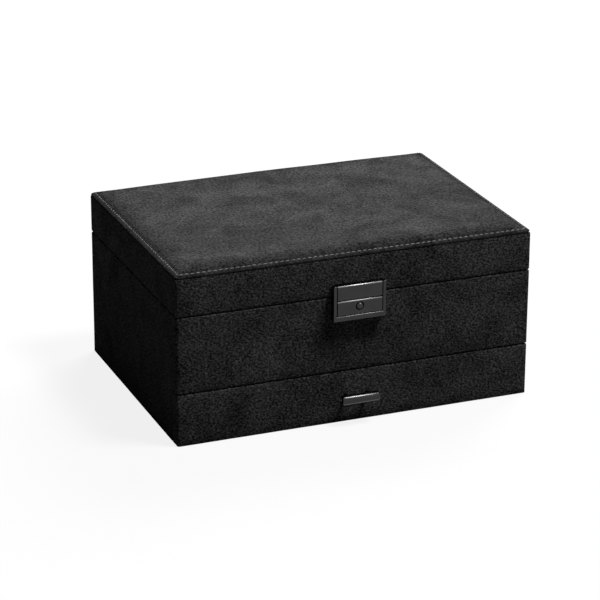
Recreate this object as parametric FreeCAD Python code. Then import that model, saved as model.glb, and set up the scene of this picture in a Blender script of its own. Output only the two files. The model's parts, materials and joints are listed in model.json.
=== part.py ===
"""Cufflink box with a drawer.

A fibreboard carcase and lid are covered in suede. The lid has a padded and stitched top, swings on two
stop hinges and is held shut by a sprung push clasp. A divided tray fills the upper compartment, and a drawer
with a bar pull slides in the bay under it.

Millimetres. +X is to the right of somebody who faces the clasp, +Y is to the back and +Z is up. The origin
is the middle of the box's underside, on the surface that the box stands on.
"""

import FreeCAD, Part

import math
import os

# Overall size
WIDTH = 245.0
DEPTH = 175.0
HEIGHT = 115.0  # to the stitched border of the lid: the padding rises above it
CROWN = 3.5  # of the padding, above the border
CORNER_RADIUS = 1.5  # of the upright corners
EDGE_BEVEL = 0.6  # of an edge that the suede is turned over
SEAM_GAP = 0.6  # shadow gap between two covered pieces that part
LID_SEAM = 87.5  # height of the gap's middle under the lid
DRAWER_SEAM = 35.5  # height of the gap's middle over the drawer

# Boards and coverings
SKIN = 0.8  # suede
WALL_BOARD = 8.4
RABBET = 4.0  # how far a rail's end seats in the side wall
GROOVE = 3.0  # how far a panel's edge seats in a wall
FELT = 0.4  # under the base
FELT_INSET = 2.0
BASE_BOARD = 4.0
FLOOR_BOARD = 4.0
FLOOR_LOW = 38.0  # underside of the shelf between tray and drawer
LID_BOARD = 4.0
LINING = 3.5  # velvet over card, in the lid
LINING_CLEARANCE = 0.3
CARD = 0.5  # stiffener under the stitched cover
CARD_INSET = 1.2
COVER = 1.1  # the cover's hem, folded suede

# Padding of the lid
BORDER = 6.4  # flat stitched margin round the padding
BORDER_CORNER = 3.0  # plan radius of the cover's corners
PAD_CORNER = 7.0
ROLL = 9.0  # width over which the padding rises to its full height

# Tray in the upper compartment
LINER = 2.0  # velvet card round the compartment
LIP = 3.0  # how far the liner stands above the rim
LIP_CLEARANCE = 0.8  # between the liner's lip and the lid's walls
TRAY_PAD = 1.5
COLUMNS = 5
ROWS = 4
DIVIDER = 3.0
DIVIDER_HEIGHT = 40.0
LAP_CLEARANCE = 0.1  # in the halving joints of the dividers
DIVIDER_CLEARANCE = 0.2
CUSHION_HEIGHT = 22.0
CUSHION_CLEARANCE = 0.5
CUSHION_BEVEL = 2.5
SLIT_WIDTH = 1.6  # where a cufflink's bar goes in
SLIT_DEPTH = 12.0
SLIT_MARGIN = 6.0

# Drawer
DRAWER_FRONT = 10.0  # thickness of the front with its suede
FLOOR_GAP = 0.4  # under the drawer front
DRAWER_SIDE = 6.0
DRAWER_SIDE_CLEARANCE = 0.6
DRAWER_TOP_CLEARANCE = 2.0  # under the front rail
DRAWER_LENGTH = 152.0  # from the back of the front to the back of the box
DRAWER_BOARD = 2.5  # bottom panel
DRAWER_BOARD_LIFT = 1.8  # of the bottom panel above the sides' lower edges
DRAWER_GROOVE = 2.0
DRAWER_LINING = 1.4
DRAWER_DIVIDER = 3.0
DRAWER_DIVIDER_DROP = 2.0  # of the dividers below the sides
DRAWER_CELLS = 3  # compartments beside the ring rolls
DRAWER_TRAVEL = 112.0
GLIDE = 0.8  # felt strips that the drawer slides on
GLIDE_WIDTH = 6.0
STOP_LIFT = 1.4  # how far the drawer's back stands above the front rail's lower edge
STOP_WIDTH = 12.0
STOP_LENGTH = 12.0
STOP_OFFSET = 60.0  # from the middle of the box to the middle of a stop
STOP_CLEARANCE = 0.6  # between a stop and the drawer's sides
STOP_PLAY = 0.1  # left between drawer and stop at full travel
ROLLS = 9
ROLL_HEIGHT = 17.0
ROLL_CLEARANCE = 0.15

# Bar pull
PULL_LENGTH = 26.2
PULL_RADIUS = 3.2
PULL_END_BEVEL = 1.3
PULL_GAP = 4.4  # between the bar and the drawer front
PULL_LEVEL = 18.3
PULL_POST_RADIUS = 1.7
PULL_POST_SPACING = 15.0
PULL_SCREW_RADIUS = 1.1
PULL_SCREW_BITE = 3.0  # into the post
PULL_SCREW_HEAD = 1.2
PULL_SCREW_HEAD_RADIUS = 2.2

# Stop hinges
HINGE_LENGTH = 34.0
HINGE_OFFSET = 72.0  # from the middle of the box to the middle of a hinge
HINGE_LEAF = 1.2
HINGE_LEAF_DEPTH = 7.2  # how far a leaf reaches over the wall
HINGE_LEAF_GAP = 0.2  # between the closed leaves
HINGE_BARREL_RADIUS = 2.3
HINGE_BARREL_CLEARANCE = 0.4  # from the barrel to the back of the box
HINGE_KNUCKLE_GAP = 0.3
HINGE_PIN_RADIUS = 1.0
HINGE_PIN_CLEARANCE = 0.05  # in the lid's leaf, which turns on the pin
HINGE_OPENING = 95.0  # degrees at which the stops meet
HINGE_STOP = 1.2  # thickness of a stop
HINGE_STOP_REACH = 5.0  # from the pin's axis
HINGE_STOP_CLEARANCE = 0.06
HINGE_SCREW_SPACING = 20.0
HINGE_SCREW_RADIUS = 1.0
HINGE_SCREW_HEAD_RADIUS = 1.9
HINGE_SCREW_LENGTH = 9.0
HINGE_SCREW_TIP_RADIUS = 0.3

# Push clasp
CLASP_WIDTH = 36.0
CLASP_HEIGHT = 24.0
CLASP_LOW = 72.0
CLASP_PROUD = 5.0
CLASP_RIM = 2.0
CLASP_FOOT_RIM = 3.4
CLASP_RIM_ROUND = 0.4
CLASP_BASE = 1.0
CLASP_LID_CLEARANCE = 0.4
PLATE_GAP = 0.6
PLATE = 1.6
PLATE_ROUND = 1.1  # of a plate's upper edge
KEEPER_DROP = 1.3  # of the lid's plate below the lid's seam
KEEPER_SET_BACK = 0.2  # of the lid's plate behind the case's plate
BUTTON_RADIUS = 2.4
BUTTON_PROUD = 1.2
BUTTON_SHOULDER = 0.5  # from the plate's face back to the foot of the dome
BUTTON_CLEARANCE = 0.15
BUTTON_HOLE_BEVEL = 0.5
BUTTON_TRAVEL = 1.5
STEM = 2.2  # side of the square bar between button and bolt
CUP_WIDTH = 15.6
CUP_UNDER_HOOKS = 1.2  # from the hooks' lower edges to the cup's floor
CUP_UNDER_PLATE = 1.0  # from the case's plate's upper edge to the top of the cup
CUP_DEPTH = 5.0  # behind the face of the box
CUP_WALL = 0.8
CUP_CLEARANCE = 0.1
HOOK_OFFSET = 4.7  # of a prong's middle from the button's axis
HOOK_WIDTH = 3.0
HOOK_THICKNESS = 1.0
HOOK_LENGTH = 7.4
HOOK_LIP = 1.0  # how far the lip stands back from the prong
HOOK_LAND = 0.4  # height of the lip's flat tip
HOOK_SET_BACK = 0.4  # behind the case's plate
BOLT_PLATE = 1.2
BOLT_BITE = 0.7  # of the bolt's nose over the prong's lip
BOLT_CLEARANCE = 0.2
NOSE_HEIGHT = 1.2
SPRING_WIDTH = 5.0
SPRING_STRIP = 0.3  # thickness of the spring's strip
SPRING_REACH = 2.4  # above and below the button's axis
SPRING_CLEARANCE = 0.05
SPIKE = 1.8  # side of a cast spike where it leaves its casting
SPIKE_TIP = 0.6
SPIKE_LENGTH = 5.5
CASE_SPIKE_SPACING = 23.0
KEEPER_SPIKE_SPACING = 20.0
KEEPER_SPIKE_DROP = 4.0  # from the clasp's top to the spikes' middle

# Places that follow from the sizes
half_width = WIDTH / 2
half_depth = DEPTH / 2
wall = SKIN + WALL_BOARD
inner_x = half_width - wall
inner_y = half_depth - wall
case_low = FELT
case_top = LID_SEAM - SEAM_GAP / 2
lid_low = LID_SEAM + SEAM_GAP / 2
rail_low = DRAWER_SEAM + SEAM_GAP / 2
base_top = case_low + BASE_BOARD
floor_top = FLOOR_LOW + FLOOR_BOARD
lid_side_top = HEIGHT - COVER - CARD
lid_board_low = lid_side_top - LID_BOARD
lid_inner_x = inner_x + LIP_CLEARANCE
lid_inner_y = inner_y + LIP_CLEARANCE
front_y = -half_depth
drawer_front_back = front_y + DRAWER_FRONT
bay_front = drawer_front_back + SEAM_GAP
liner_x = inner_x - LINER
liner_y = inner_y - LINER
tray_top = floor_top + TRAY_PAD
MARGIN = 1.0  # spare length of a cutting block beyond what it cuts
SCREW_SIDES = 8  # small screws have flats in place of a round section


def point(x, y, z):
    return FreeCAD.Vector(x, y, z)


def block(x, y, z):
    """A box from a (low, high) pair for each axis, in either order."""
    x, y, z = sorted(x), sorted(y), sorted(z)
    return Part.makeBox(x[1] - x[0], y[1] - y[0], z[1] - z[0], point(x[0], y[0], z[0]))


def outline(half_x, y, radius, z):
    """A closed rectangle with rounded corners in a level plane."""
    low, high = sorted(y)
    bend = radius * (1 - math.sqrt(0.5))
    left, right = -half_x, half_x
    corners = [
        ((left, low + radius), (left + bend, low + bend), (left + radius, low)),
        ((right - radius, low), (right - bend, low + bend), (right, low + radius)),
        ((right, high - radius), (right - bend, high - bend), (right - radius, high)),
        ((left + radius, high), (left + bend, high - bend), (left, high - radius)),
    ]
    edges = []
    for index, corner in enumerate(corners):
        start, middle, end = (point(px, py, z) for px, py in corner)
        following = point(*corners[(index + 1) % len(corners)][0], z)
        edges.append(Part.Arc(start, middle, end).toShape())
        edges.append(Part.LineSegment(end, following).toShape())
    return Part.Wire(edges)


def cropped_outline(half_x, y, crop, z):
    """A closed rectangle with its corners cut off straight in a level plane."""
    low, high = sorted(y)
    inner = half_x - crop
    front = [(-half_x, low + crop), (-inner, low), (inner, low), (half_x, low + crop)]
    back = [(half_x, high - crop), (inner, high), (-inner, high), (-half_x, high - crop)]
    corners = [point(px, py, z) for px, py in front + back]
    return Part.makePolygon([*corners, corners[0]])


def rounded_block(half_x, y, z, radius):
    """An upright block, the same to left and right, with rounded upright corners."""
    low, high = sorted(z)
    return Part.Face(outline(half_x, y, radius, low)).extrude(point(0, 0, high - low))


def rod(radius, start, end):
    """A round bar between two points."""
    along = end - start
    return Part.makeCylinder(radius, along.Length, start, along)


def shank(radius, end_radius, start, end):
    """A tapered bar with a many-sided section between two points on a line along Y or Z."""
    turn = FreeCAD.Rotation(point(0, 0, 1), end - start)
    angles = [math.tau * (side + 0.5) / SCREW_SIDES for side in range(SCREW_SIDES)]
    rings = [
        [place + turn.multVec(point(size * math.cos(angle), size * math.sin(angle), 0)) for angle in angles]
        for place, size in ((start, radius), (end, end_radius))
    ]
    start_ring, end_ring = rings
    flats = [
        [start_ring[side - 1], start_ring[side], end_ring[side], end_ring[side - 1]]
        for side in range(SCREW_SIDES)
    ]
    return Part.Solid(Part.Shell([Part.Face(Part.makePolygon([*flat, flat[0]])) for flat in rings + flats]))


def edges_where(shape, test):
    """The edges for whose bounding box test is true."""
    return [edge for edge in shape.Edges if test(edge.BoundBox)]


def near(a, b):
    return abs(a - b) < 1e-4


def bevelled(shape, size, test):
    return shape.makeChamfer(size, edges_where(shape, test))


def filleted(shape, size, test):
    return shape.makeFillet(size, edges_where(shape, test))


def at_level(z):
    return lambda box: near(box.ZMin, z) and near(box.ZMax, z)


def fused(shapes):
    """One solid from pieces that meet, without the seams between them."""
    return shapes[0].fuse(shapes[1:]).removeSplitter()


def mirrored(shape):
    """The same piece on the other side of the box's middle."""
    return shape.mirror(point(0, 0, 0), point(1, 0, 0))


def both_sides(shape):
    return [shape, mirrored(shape)]


def spread(count, length):
    """Middles of count equal cells that fill a length about zero."""
    return [(index + 0.5) * length / count - length / 2 for index in range(count)]


# Fasteners. Each also makes the hole that it fills.


def hinge_screw(x, y, seat, down):
    """A wood screw that tapers to its tip. Its head is flush with the leaf's face at height seat."""
    top = point(x, y, seat)
    neck = point(x, y, seat - down * HINGE_LEAF)
    tip = point(x, y, seat - down * HINGE_SCREW_LENGTH)
    head = shank(HINGE_SCREW_HEAD_RADIUS, HINGE_SCREW_RADIUS, top, neck)
    return fused([head, shank(HINGE_SCREW_RADIUS, HINGE_SCREW_TIP_RADIUS, neck, tip)])


def pull_screws():
    """Screws from inside the drawer into the pull's posts, their heads sunk in the drawer front."""
    screws = []
    for x in (-PULL_POST_SPACING / 2, PULL_POST_SPACING / 2):
        back = point(x, drawer_front_back, PULL_LEVEL)
        neck = point(x, drawer_front_back - PULL_SCREW_HEAD, PULL_LEVEL)
        tip = point(x, front_y - PULL_SCREW_BITE, PULL_LEVEL)
        head = shank(PULL_SCREW_HEAD_RADIUS, PULL_SCREW_HEAD_RADIUS, back, neck)
        screws.append(fused([head, shank(PULL_SCREW_RADIUS, PULL_SCREW_RADIUS, neck, tip)]))
    return screws


def spikes(spacing, z):
    """Two square cast spikes that taper to their tips, driven into the board behind the face of the box."""
    x = spacing / 2
    root, tip = SPIKE / 2, SPIKE_TIP / 2
    low = (x - root, front_y, z - root, z - tip, x - tip)
    high = (x + root, front_y + SPIKE_LENGTH, z + root, z + tip, x + tip)
    return both_sides(Part.makeWedge(*low, *high))


def case_spikes():
    return spikes(CASE_SPIKE_SPACING, button_level)


def keeper_spikes():
    return spikes(KEEPER_SPIKE_SPACING, clasp_top - KEEPER_SPIKE_DROP)


# Stop hinges. Each is made about its own middle and then moved to its place on the seam.

hinge_y = half_depth + HINGE_BARREL_CLEARANCE + HINGE_BARREL_RADIUS
leaf_front = half_depth - HINGE_LEAF_DEPTH
leaf_screw_y = half_depth - HINGE_LEAF_DEPTH / 2
knuckle = (HINGE_LENGTH - 2 * HINGE_KNUCKLE_GAP) / 3
HINGE_PLACES = (-HINGE_OFFSET, HINGE_OFFSET)


def barrel(x):
    return rod(HINGE_BARREL_RADIUS, point(x[0], hinge_y, LID_SEAM), point(x[1], hinge_y, LID_SEAM))


def pin_bore(clearance):
    reach = HINGE_LENGTH / 2 + MARGIN
    radius = HINGE_PIN_RADIUS + clearance
    return rod(radius, point(-reach, hinge_y, LID_SEAM), point(reach, hinge_y, LID_SEAM))


def stop_arm(x, root, angle, below):
    """A radial arm on a knuckle. Its meeting face is at the angle, and its body above or below that face."""
    face = (-HINGE_STOP, 0) if below else (0, HINGE_STOP)
    arm = block(x, (hinge_y + root, hinge_y + HINGE_STOP_REACH), (LID_SEAM + face[0], LID_SEAM + face[1]))
    arm.rotate(point(0, hinge_y, LID_SEAM), point(1, 0, 0), angle)
    return arm


def leaf_holes(seat, down):
    offsets = (-HINGE_SCREW_SPACING / 2, HINGE_SCREW_SPACING / 2)
    return [hinge_screw(x, leaf_screw_y, seat, down) for x in offsets]


def hinge_case_leaf():
    """The leaf on the case: a plate, the two outer knuckles and the stop that bridges the middle one."""
    half = HINGE_LENGTH / 2
    top = LID_SEAM - HINGE_LEAF_GAP / 2
    low = top - HINGE_LEAF
    outer = (half - knuckle, half)
    ear = fused([block(outer, (leaf_front, hinge_y), (low, top)), barrel(outer)])
    plate = block((-half, half), (leaf_front, half_depth), (low, top))
    angle = -HINGE_OPENING / 2
    clear_root = HINGE_BARREL_RADIUS + HINGE_KNUCKLE_GAP
    arms = [
        stop_arm(outer, HINGE_PIN_RADIUS, angle, True),
        stop_arm((-outer[0], -outer[1]), HINGE_PIN_RADIUS, angle, True),
        stop_arm((-half, half), clear_root, angle, True),
    ]
    leaf = fused([plate, *both_sides(ear), *arms])
    return leaf.cut([pin_bore(0), *leaf_holes(top, 1)])


def hinge_lid_leaf():
    """The leaf on the lid: a plate, the middle knuckle and the arm that meets the other leaf's stop."""
    half = HINGE_LENGTH / 2
    low = LID_SEAM + HINGE_LEAF_GAP / 2
    top = low + HINGE_LEAF
    middle = (-knuckle / 2, knuckle / 2)
    plate = block((-half, half), (leaf_front, half_depth), (low, top))
    ear = fused([block(middle, (leaf_front, hinge_y), (low, top)), barrel(middle)])
    slack = math.degrees(HINGE_STOP_CLEARANCE / HINGE_STOP_REACH)
    arm = stop_arm(middle, HINGE_PIN_RADIUS, HINGE_OPENING / 2 + slack, False)
    leaf = fused([plate, ear, arm])
    return leaf.cut([pin_bore(HINGE_PIN_CLEARANCE), *leaf_holes(low, -1)])


def hinge_pin():
    """A pin that is fast in the case's leaf and flush with its ends."""
    half = HINGE_LENGTH / 2
    return rod(HINGE_PIN_RADIUS, point(-half, hinge_y, LID_SEAM), point(half, hinge_y, LID_SEAM))


def at_hinges(shapes):
    """Copies of the shapes at both hinges."""
    return [shape.translated(point(x, 0, 0)) for x in HINGE_PLACES for shape in shapes]


def case_mortises():
    half = HINGE_LENGTH / 2
    low = LID_SEAM - HINGE_LEAF_GAP / 2 - HINGE_LEAF
    return at_hinges([block((-half, half), (leaf_front, half_depth + MARGIN), (low, LID_SEAM))])


def lid_mortises():
    half = HINGE_LENGTH / 2
    top = LID_SEAM + HINGE_LEAF_GAP / 2 + HINGE_LEAF
    return at_hinges([block((-half, half), (leaf_front, half_depth + MARGIN), (LID_SEAM, top))])


def case_hinge_screws():
    return at_hinges(leaf_holes(LID_SEAM - HINGE_LEAF_GAP / 2, 1))


def lid_hinge_screws():
    return at_hinges(leaf_holes(LID_SEAM + HINGE_LEAF_GAP / 2, -1))


# Push clasp. The case's half is a casting with a sprung button and bolt, and the lid's half has two hooks.

clasp_front = front_y - CLASP_PROUD
clasp_half = CLASP_WIDTH / 2
rim_inner = clasp_half - CLASP_RIM
plate_half = rim_inner - PLATE_GAP
plate_low = CLASP_LOW + CLASP_FOOT_RIM + PLATE_GAP
keeper_low = LID_SEAM - KEEPER_DROP
plate_top = keeper_low - PLATE_GAP
plate_back = clasp_front + PLATE
clasp_top = CLASP_LOW + CLASP_HEIGHT
base_front = front_y - CLASP_BASE
hook_front = plate_back + HOOK_SET_BACK
hook_back = hook_front + HOOK_THICKNESS
hook_low = keeper_low - HOOK_LENGTH
cup_half = CUP_WIDTH / 2
cup_low = hook_low - CUP_UNDER_HOOKS
cup_top = plate_top - CUP_UNDER_PLATE
cup_back = front_y + CUP_DEPTH
button_level = (cup_low + cup_top) / 2
lip_back = hook_back + HOOK_LIP
nose_tip = lip_back - BOLT_BITE
lip_top = hook_low + HOOK_LIP + HOOK_LAND
nose_low = lip_top + BOLT_CLEARANCE
bolt_front = lip_back + BOLT_BITE
bolt_back = bolt_front + BOLT_PLATE


def cup_space(grow, back):
    """The room for the bolt, grown on all sides but the front, from the case's plate back to a depth."""
    return block((-cup_half - grow, cup_half + grow), (plate_back, back), (cup_low - grow, cup_top + grow))


def clasp_pocket():
    """What the clasp takes out of the front rail and its suede."""
    grow = CUP_WALL + CUP_CLEARANCE
    return cup_space(grow, cup_back + CUP_CLEARANCE)


def clasp_housing():
    """Casting on the case: a base, a U of rims, a bed for the plate and a cup let into the front rail."""
    base = block((-clasp_half, clasp_half), (base_front, front_y), (CLASP_LOW, case_top - SEAM_GAP))
    foot = block((-clasp_half, clasp_half), (clasp_front, front_y), (CLASP_LOW, CLASP_LOW + CLASP_FOOT_RIM))
    lid_clear = front_y - CLASP_LID_CLEARANCE
    rim = block((rim_inner, clasp_half), (clasp_front, lid_clear), (CLASP_LOW, clasp_top))
    bed = block((-plate_half, plate_half), (plate_back, front_y), (plate_low, plate_top))
    cup = block(
        (-cup_half - CUP_WALL, cup_half + CUP_WALL),
        (front_y, cup_back),
        (cup_low - CUP_WALL, cup_top + CUP_WALL),
    )
    body = fused([base, foot, *both_sides(rim), bed, cup, *case_spikes()])
    front_edge = lambda box: near(box.YMin, clasp_front) and near(box.YMax, clasp_front)
    body = filleted(body, CLASP_RIM_ROUND, front_edge)
    throat = block((-cup_half, cup_half), (plate_back, front_y), (cup_low, case_top))
    return body.cut([cup_space(0, cup_back - CUP_WALL), throat])


def clasp_case_plate():
    """The plate round the button, with a rounded upper edge."""
    plate = block((-plate_half, plate_half), (clasp_front, plate_back), (plate_low, plate_top))
    is_top = lambda box: near(box.ZMin, plate_top) and near(box.YMax, clasp_front)
    plate = filleted(plate, PLATE_ROUND, is_top)
    radius = BUTTON_RADIUS + BUTTON_CLEARANCE
    hole = rod(
        radius, point(0, clasp_front - MARGIN, button_level), point(0, plate_back + MARGIN, button_level)
    )
    is_mouth = lambda box: near(box.YMax, clasp_front) and near(box.ZLength, 2 * radius)
    return bevelled(plate.cut(hole), BUTTON_HOLE_BEVEL, is_mouth)


def clasp_keeper():
    """Casting on the lid: a plate with two hooked prongs that reach down into the case's half."""
    face = clasp_front + KEEPER_SET_BACK
    upper = block((-plate_half, plate_half), (face, front_y), (lid_low + CLASP_LID_CLEARANCE, clasp_top))
    apron_back = base_front - CLASP_LID_CLEARANCE
    apron = block((-plate_half, plate_half), (face, apron_back), (keeper_low, clasp_top))
    body = fused([upper, apron])
    is_top = lambda box: near(box.ZMin, clasp_top) and near(box.YMax, face)
    body = filleted(body, PLATE_ROUND, is_top)
    x = (HOOK_OFFSET - HOOK_WIDTH / 2, HOOK_OFFSET + HOOK_WIDTH / 2)
    profile = [
        (hook_front, keeper_low + MARGIN),
        (hook_front, hook_low),
        (hook_back, hook_low),
        (lip_back, hook_low + HOOK_LIP),
        (lip_back, lip_top),
        (hook_back, lip_top),
        (hook_back, keeper_low + MARGIN),
    ]
    corners = [point(x[0], y, z) for y, z in profile]
    hook = Part.Face(Part.makePolygon([*corners, corners[0]])).extrude(point(x[1] - x[0], 0, 0))
    return fused([body, *both_sides(hook), *keeper_spikes()])


def clasp_button():
    """A domed button on a stem that ends in the bolt."""
    crest = clasp_front - BUTTON_PROUD
    shoulder = clasp_front + BUTTON_SHOULDER
    rise = shoulder - crest
    sphere_radius = (BUTTON_RADIUS**2 + rise**2) / (2 * rise)
    ball = Part.makeSphere(sphere_radius, point(0, crest + sphere_radius, button_level))
    cap_back = plate_back - BUTTON_CLEARANCE
    cap = rod(BUTTON_RADIUS, point(0, crest - MARGIN, button_level), point(0, cap_back, button_level))
    dome = cap.common(ball)
    drum = rod(BUTTON_RADIUS, point(0, shoulder, button_level), point(0, cap_back, button_level))
    stem_z = (button_level - STEM / 2, button_level + STEM / 2)
    stem = block((-STEM / 2, STEM / 2), (cap_back, bolt_front), stem_z)
    return fused([dome, drum, stem])


def clasp_bolt():
    """The sprung plate behind the hooks, with a nose over each hook's lip."""
    reach = HOOK_OFFSET + HOOK_WIDTH / 2
    z = (min(nose_low, button_level - SPRING_REACH), button_level + SPRING_REACH)
    plate = block((-reach, reach), (bolt_front, bolt_back), z)
    x = (HOOK_OFFSET - HOOK_WIDTH / 2, HOOK_OFFSET + HOOK_WIDTH / 2)
    nose = block(x, (nose_tip, bolt_front), (nose_low, nose_low + NOSE_HEIGHT))
    is_tip = lambda box: near(box.YMax, nose_tip) and near(box.ZMin, nose_low + NOSE_HEIGHT)
    nose = bevelled(nose, BOLT_BITE, is_tip)
    return fused([plate, *both_sides(nose)])


def clasp_spring():
    """A strip of spring steel, folded to a V between the bolt and the back of the cup."""
    back = cup_back - CUP_WALL
    front = bolt_back + SPRING_CLEARANCE
    low, high = button_level - SPRING_REACH, button_level + SPRING_REACH
    x = (-SPRING_WIDTH / 2, SPRING_WIDTH / 2)
    profile = [(back, low), (back - SPRING_STRIP, low), (front, high), (front + SPRING_STRIP, high)]
    corners = [point(x[0], y, z) for y, z in profile]
    arm = Part.Face(Part.makePolygon([*corners, corners[0]])).extrude(point(SPRING_WIDTH, 0, 0))
    seat = block(x, (back - SPRING_STRIP, back), (low, high))
    return fused([arm, seat])


# Case


def drawer_bay(grow):
    """The notch in the front of the case that the drawer front closes."""
    x = half_width + MARGIN
    return block((-x, x), (front_y - MARGIN, bay_front + grow), (case_low - MARGIN, rail_low + grow))


def case_shape(inset):
    """The ring of walls with its outer faces, rim and bay edges drawn in by inset."""
    radius = CORNER_RADIUS - inset
    x, y = half_width - inset, half_depth - inset
    top = case_top - inset
    ring = rounded_block(x, (-y, y), (case_low, top), radius)
    if not inset:
        ring = bevelled(ring, EDGE_BEVEL, at_level(top))
    ring = ring.cut(drawer_bay(inset))
    if not inset:
        ring = bevelled(ring, EDGE_BEVEL, lambda box: at_level(rail_low)(box) and box.YMax < bay_front)
    return ring.cut(block((-inner_x, inner_x), (-inner_y, inner_y), (case_low - MARGIN, case_top + MARGIN)))


board_x = half_width - SKIN
board_y = half_depth - SKIN
board_top = case_top - SKIN
front_rail_blank = block(
    (-inner_x - RABBET, inner_x + RABBET), (-board_y, -inner_y), (rail_low + SKIN, board_top)
)
back_wall_blank = block((-inner_x - RABBET, inner_x + RABBET), (inner_y, board_y), (case_low, board_top))
floor_blank = block(
    (-inner_x - GROOVE, inner_x + GROOVE), (-inner_y - GROOVE, inner_y + GROOVE), (FLOOR_LOW, floor_top)
)
base_blank = block(
    (-inner_x - RABBET, inner_x + RABBET), (bay_front, inner_y + RABBET), (case_low, base_top)
)


def case_side_wall():
    """The right wall, with a notch for the drawer front and rabbets and a groove for its neighbours."""
    wall_block = block((inner_x, half_width), (-half_depth, half_depth), (case_low, case_top))
    core = case_shape(SKIN).common(wall_block)
    return core.cut([front_rail_blank, back_wall_blank, floor_blank, base_blank])


def case_front_rail():
    return front_rail_blank.cut([floor_blank, clasp_pocket(), *case_spikes()])


def case_back_wall():
    return back_wall_blank.cut([floor_blank, base_blank, *case_mortises(), *case_hinge_screws()])


def case_wrap():
    """The suede skin: outer faces, rim and the edges of the drawer's bay."""
    skin = case_shape(0).cut(case_shape(SKIN))
    return skin.cut([base_blank, clasp_pocket(), *case_spikes(), *case_mortises(), *case_hinge_screws()])


def base_felt():
    y = (bay_front + FELT_INSET, half_depth - FELT_INSET)
    return rounded_block(half_width - FELT_INSET, y, (0, FELT), CORNER_RADIUS)


def drawer_glides():
    """Felt strips on the base, under the drawer's sides."""
    outer = inner_x - DRAWER_SIDE_CLEARANCE
    y = (bay_front, inner_y)
    return both_sides(block((outer - GLIDE_WIDTH, outer), y, (base_top, base_top + GLIDE)))


# Upper compartment


def liners():
    """Velvet card on the four inner faces. The long ones run between the short ones."""
    z = (floor_top, case_top + LIP)
    side = block((liner_x, inner_x), (-inner_y, inner_y), z)
    back = block((-liner_x, liner_x), (liner_y, inner_y), z)
    front = block((-liner_x, liner_x), (-inner_y, -liner_y), z)
    return mirrored(side), side, front, back


def tray_pad():
    return block((-liner_x, liner_x), (-liner_y, liner_y), (floor_top, tray_top))


column_pitch = (2 * liner_x + DIVIDER) / COLUMNS
row_pitch = (2 * liner_y + DIVIDER) / ROWS
column_lines = [-liner_x - DIVIDER / 2 + index * column_pitch for index in range(1, COLUMNS)]
row_lines = [-liner_y - DIVIDER / 2 + index * row_pitch for index in range(1, ROWS)]
divider_top = tray_top + DIVIDER_HEIGHT
lap_level = tray_top + DIVIDER_HEIGHT / 2


def row_dividers():
    """Boards along the box, slotted from above where the cross boards pass."""
    half = liner_x - DIVIDER_CLEARANCE
    slot = DIVIDER / 2 + LAP_CLEARANCE
    slot_z = (lap_level - LAP_CLEARANCE, divider_top + MARGIN)
    boards = []
    for y in row_lines:
        board = block((-half, half), (y - DIVIDER / 2, y + DIVIDER / 2), (tray_top, divider_top))
        slots = [block((x - slot, x + slot), (y - DIVIDER, y + DIVIDER), slot_z) for x in column_lines]
        boards.append(board.cut(slots))
    return boards


def column_dividers():
    """Boards across the box, slotted from below where the long boards pass."""
    half = liner_y - DIVIDER_CLEARANCE
    slot = DIVIDER / 2 + LAP_CLEARANCE
    slot_z = (tray_top - MARGIN, lap_level + LAP_CLEARANCE)
    boards = []
    for x in column_lines:
        board = block((x - DIVIDER / 2, x + DIVIDER / 2), (-half, half), (tray_top, divider_top))
        slots = [block((x - DIVIDER, x + DIVIDER), (y - slot, y + slot), slot_z) for y in row_lines]
        boards.append(board.cut(slots))
    return boards


def cufflink_cushions():
    """A foam block with a slit for a cufflink's bar in each cell of the tray."""
    half_x = (column_pitch - DIVIDER) / 2 - CUSHION_CLEARANCE
    half_y = (row_pitch - DIVIDER) / 2 - CUSHION_CLEARANCE
    top = tray_top + CUSHION_HEIGHT
    blank = block((-half_x, half_x), (-half_y, half_y), (tray_top, top))
    blank = bevelled(blank, CUSHION_BEVEL, at_level(top))
    slit_half = half_x - SLIT_MARGIN
    slit = block(
        (-slit_half, slit_half), (-SLIT_WIDTH / 2, SLIT_WIDTH / 2), (top - SLIT_DEPTH, top + MARGIN)
    )
    cushion = blank.cut(slit)
    first_x = -liner_x + (column_pitch - DIVIDER) / 2
    first_y = -liner_y + (row_pitch - DIVIDER) / 2
    return [
        cushion.translated(point(first_x + column * column_pitch, first_y + row * row_pitch, 0))
        for row in range(ROWS)
        for column in range(COLUMNS)
    ]


# Lid


def lid_shape(inset):
    """The ring of the lid's walls with its outer faces and both rims drawn in by inset."""
    x, y = half_width - inset, half_depth - inset
    z = (lid_low + inset, lid_side_top - inset)
    ring = rounded_block(x, (-y, y), z, CORNER_RADIUS - inset)
    if not inset:
        ring = bevelled(ring, EDGE_BEVEL, lambda box: at_level(z[0])(box) or at_level(z[1])(box))
    inside = block((-lid_inner_x, lid_inner_x), (-lid_inner_y, lid_inner_y), (lid_low - MARGIN, HEIGHT))
    return ring.cut([inside, lid_board_blank])


lid_board_blank = block(
    (-lid_inner_x - RABBET, lid_inner_x + RABBET),
    (-lid_inner_y - RABBET, lid_inner_y + RABBET),
    (lid_board_low, lid_side_top),
)
lid_rail_x = lid_inner_x + RABBET
lid_rail_z = (lid_low + SKIN, lid_side_top - SKIN)
lid_front_blank = block((-lid_rail_x, lid_rail_x), (-board_y, -lid_inner_y), lid_rail_z)
lid_back_blank = block((-lid_rail_x, lid_rail_x), (lid_inner_y, board_y), lid_rail_z)


def lid_side_rail():
    rail = lid_shape(SKIN).common(block((lid_inner_x, half_width), (-half_depth, half_depth), lid_rail_z))
    return rail.cut([lid_front_blank, lid_back_blank])


def lid_front_rail():
    return lid_front_blank.cut([lid_board_blank, *keeper_spikes()])


def lid_back_rail():
    return lid_back_blank.cut([lid_board_blank, *lid_mortises(), *lid_hinge_screws()])


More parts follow.
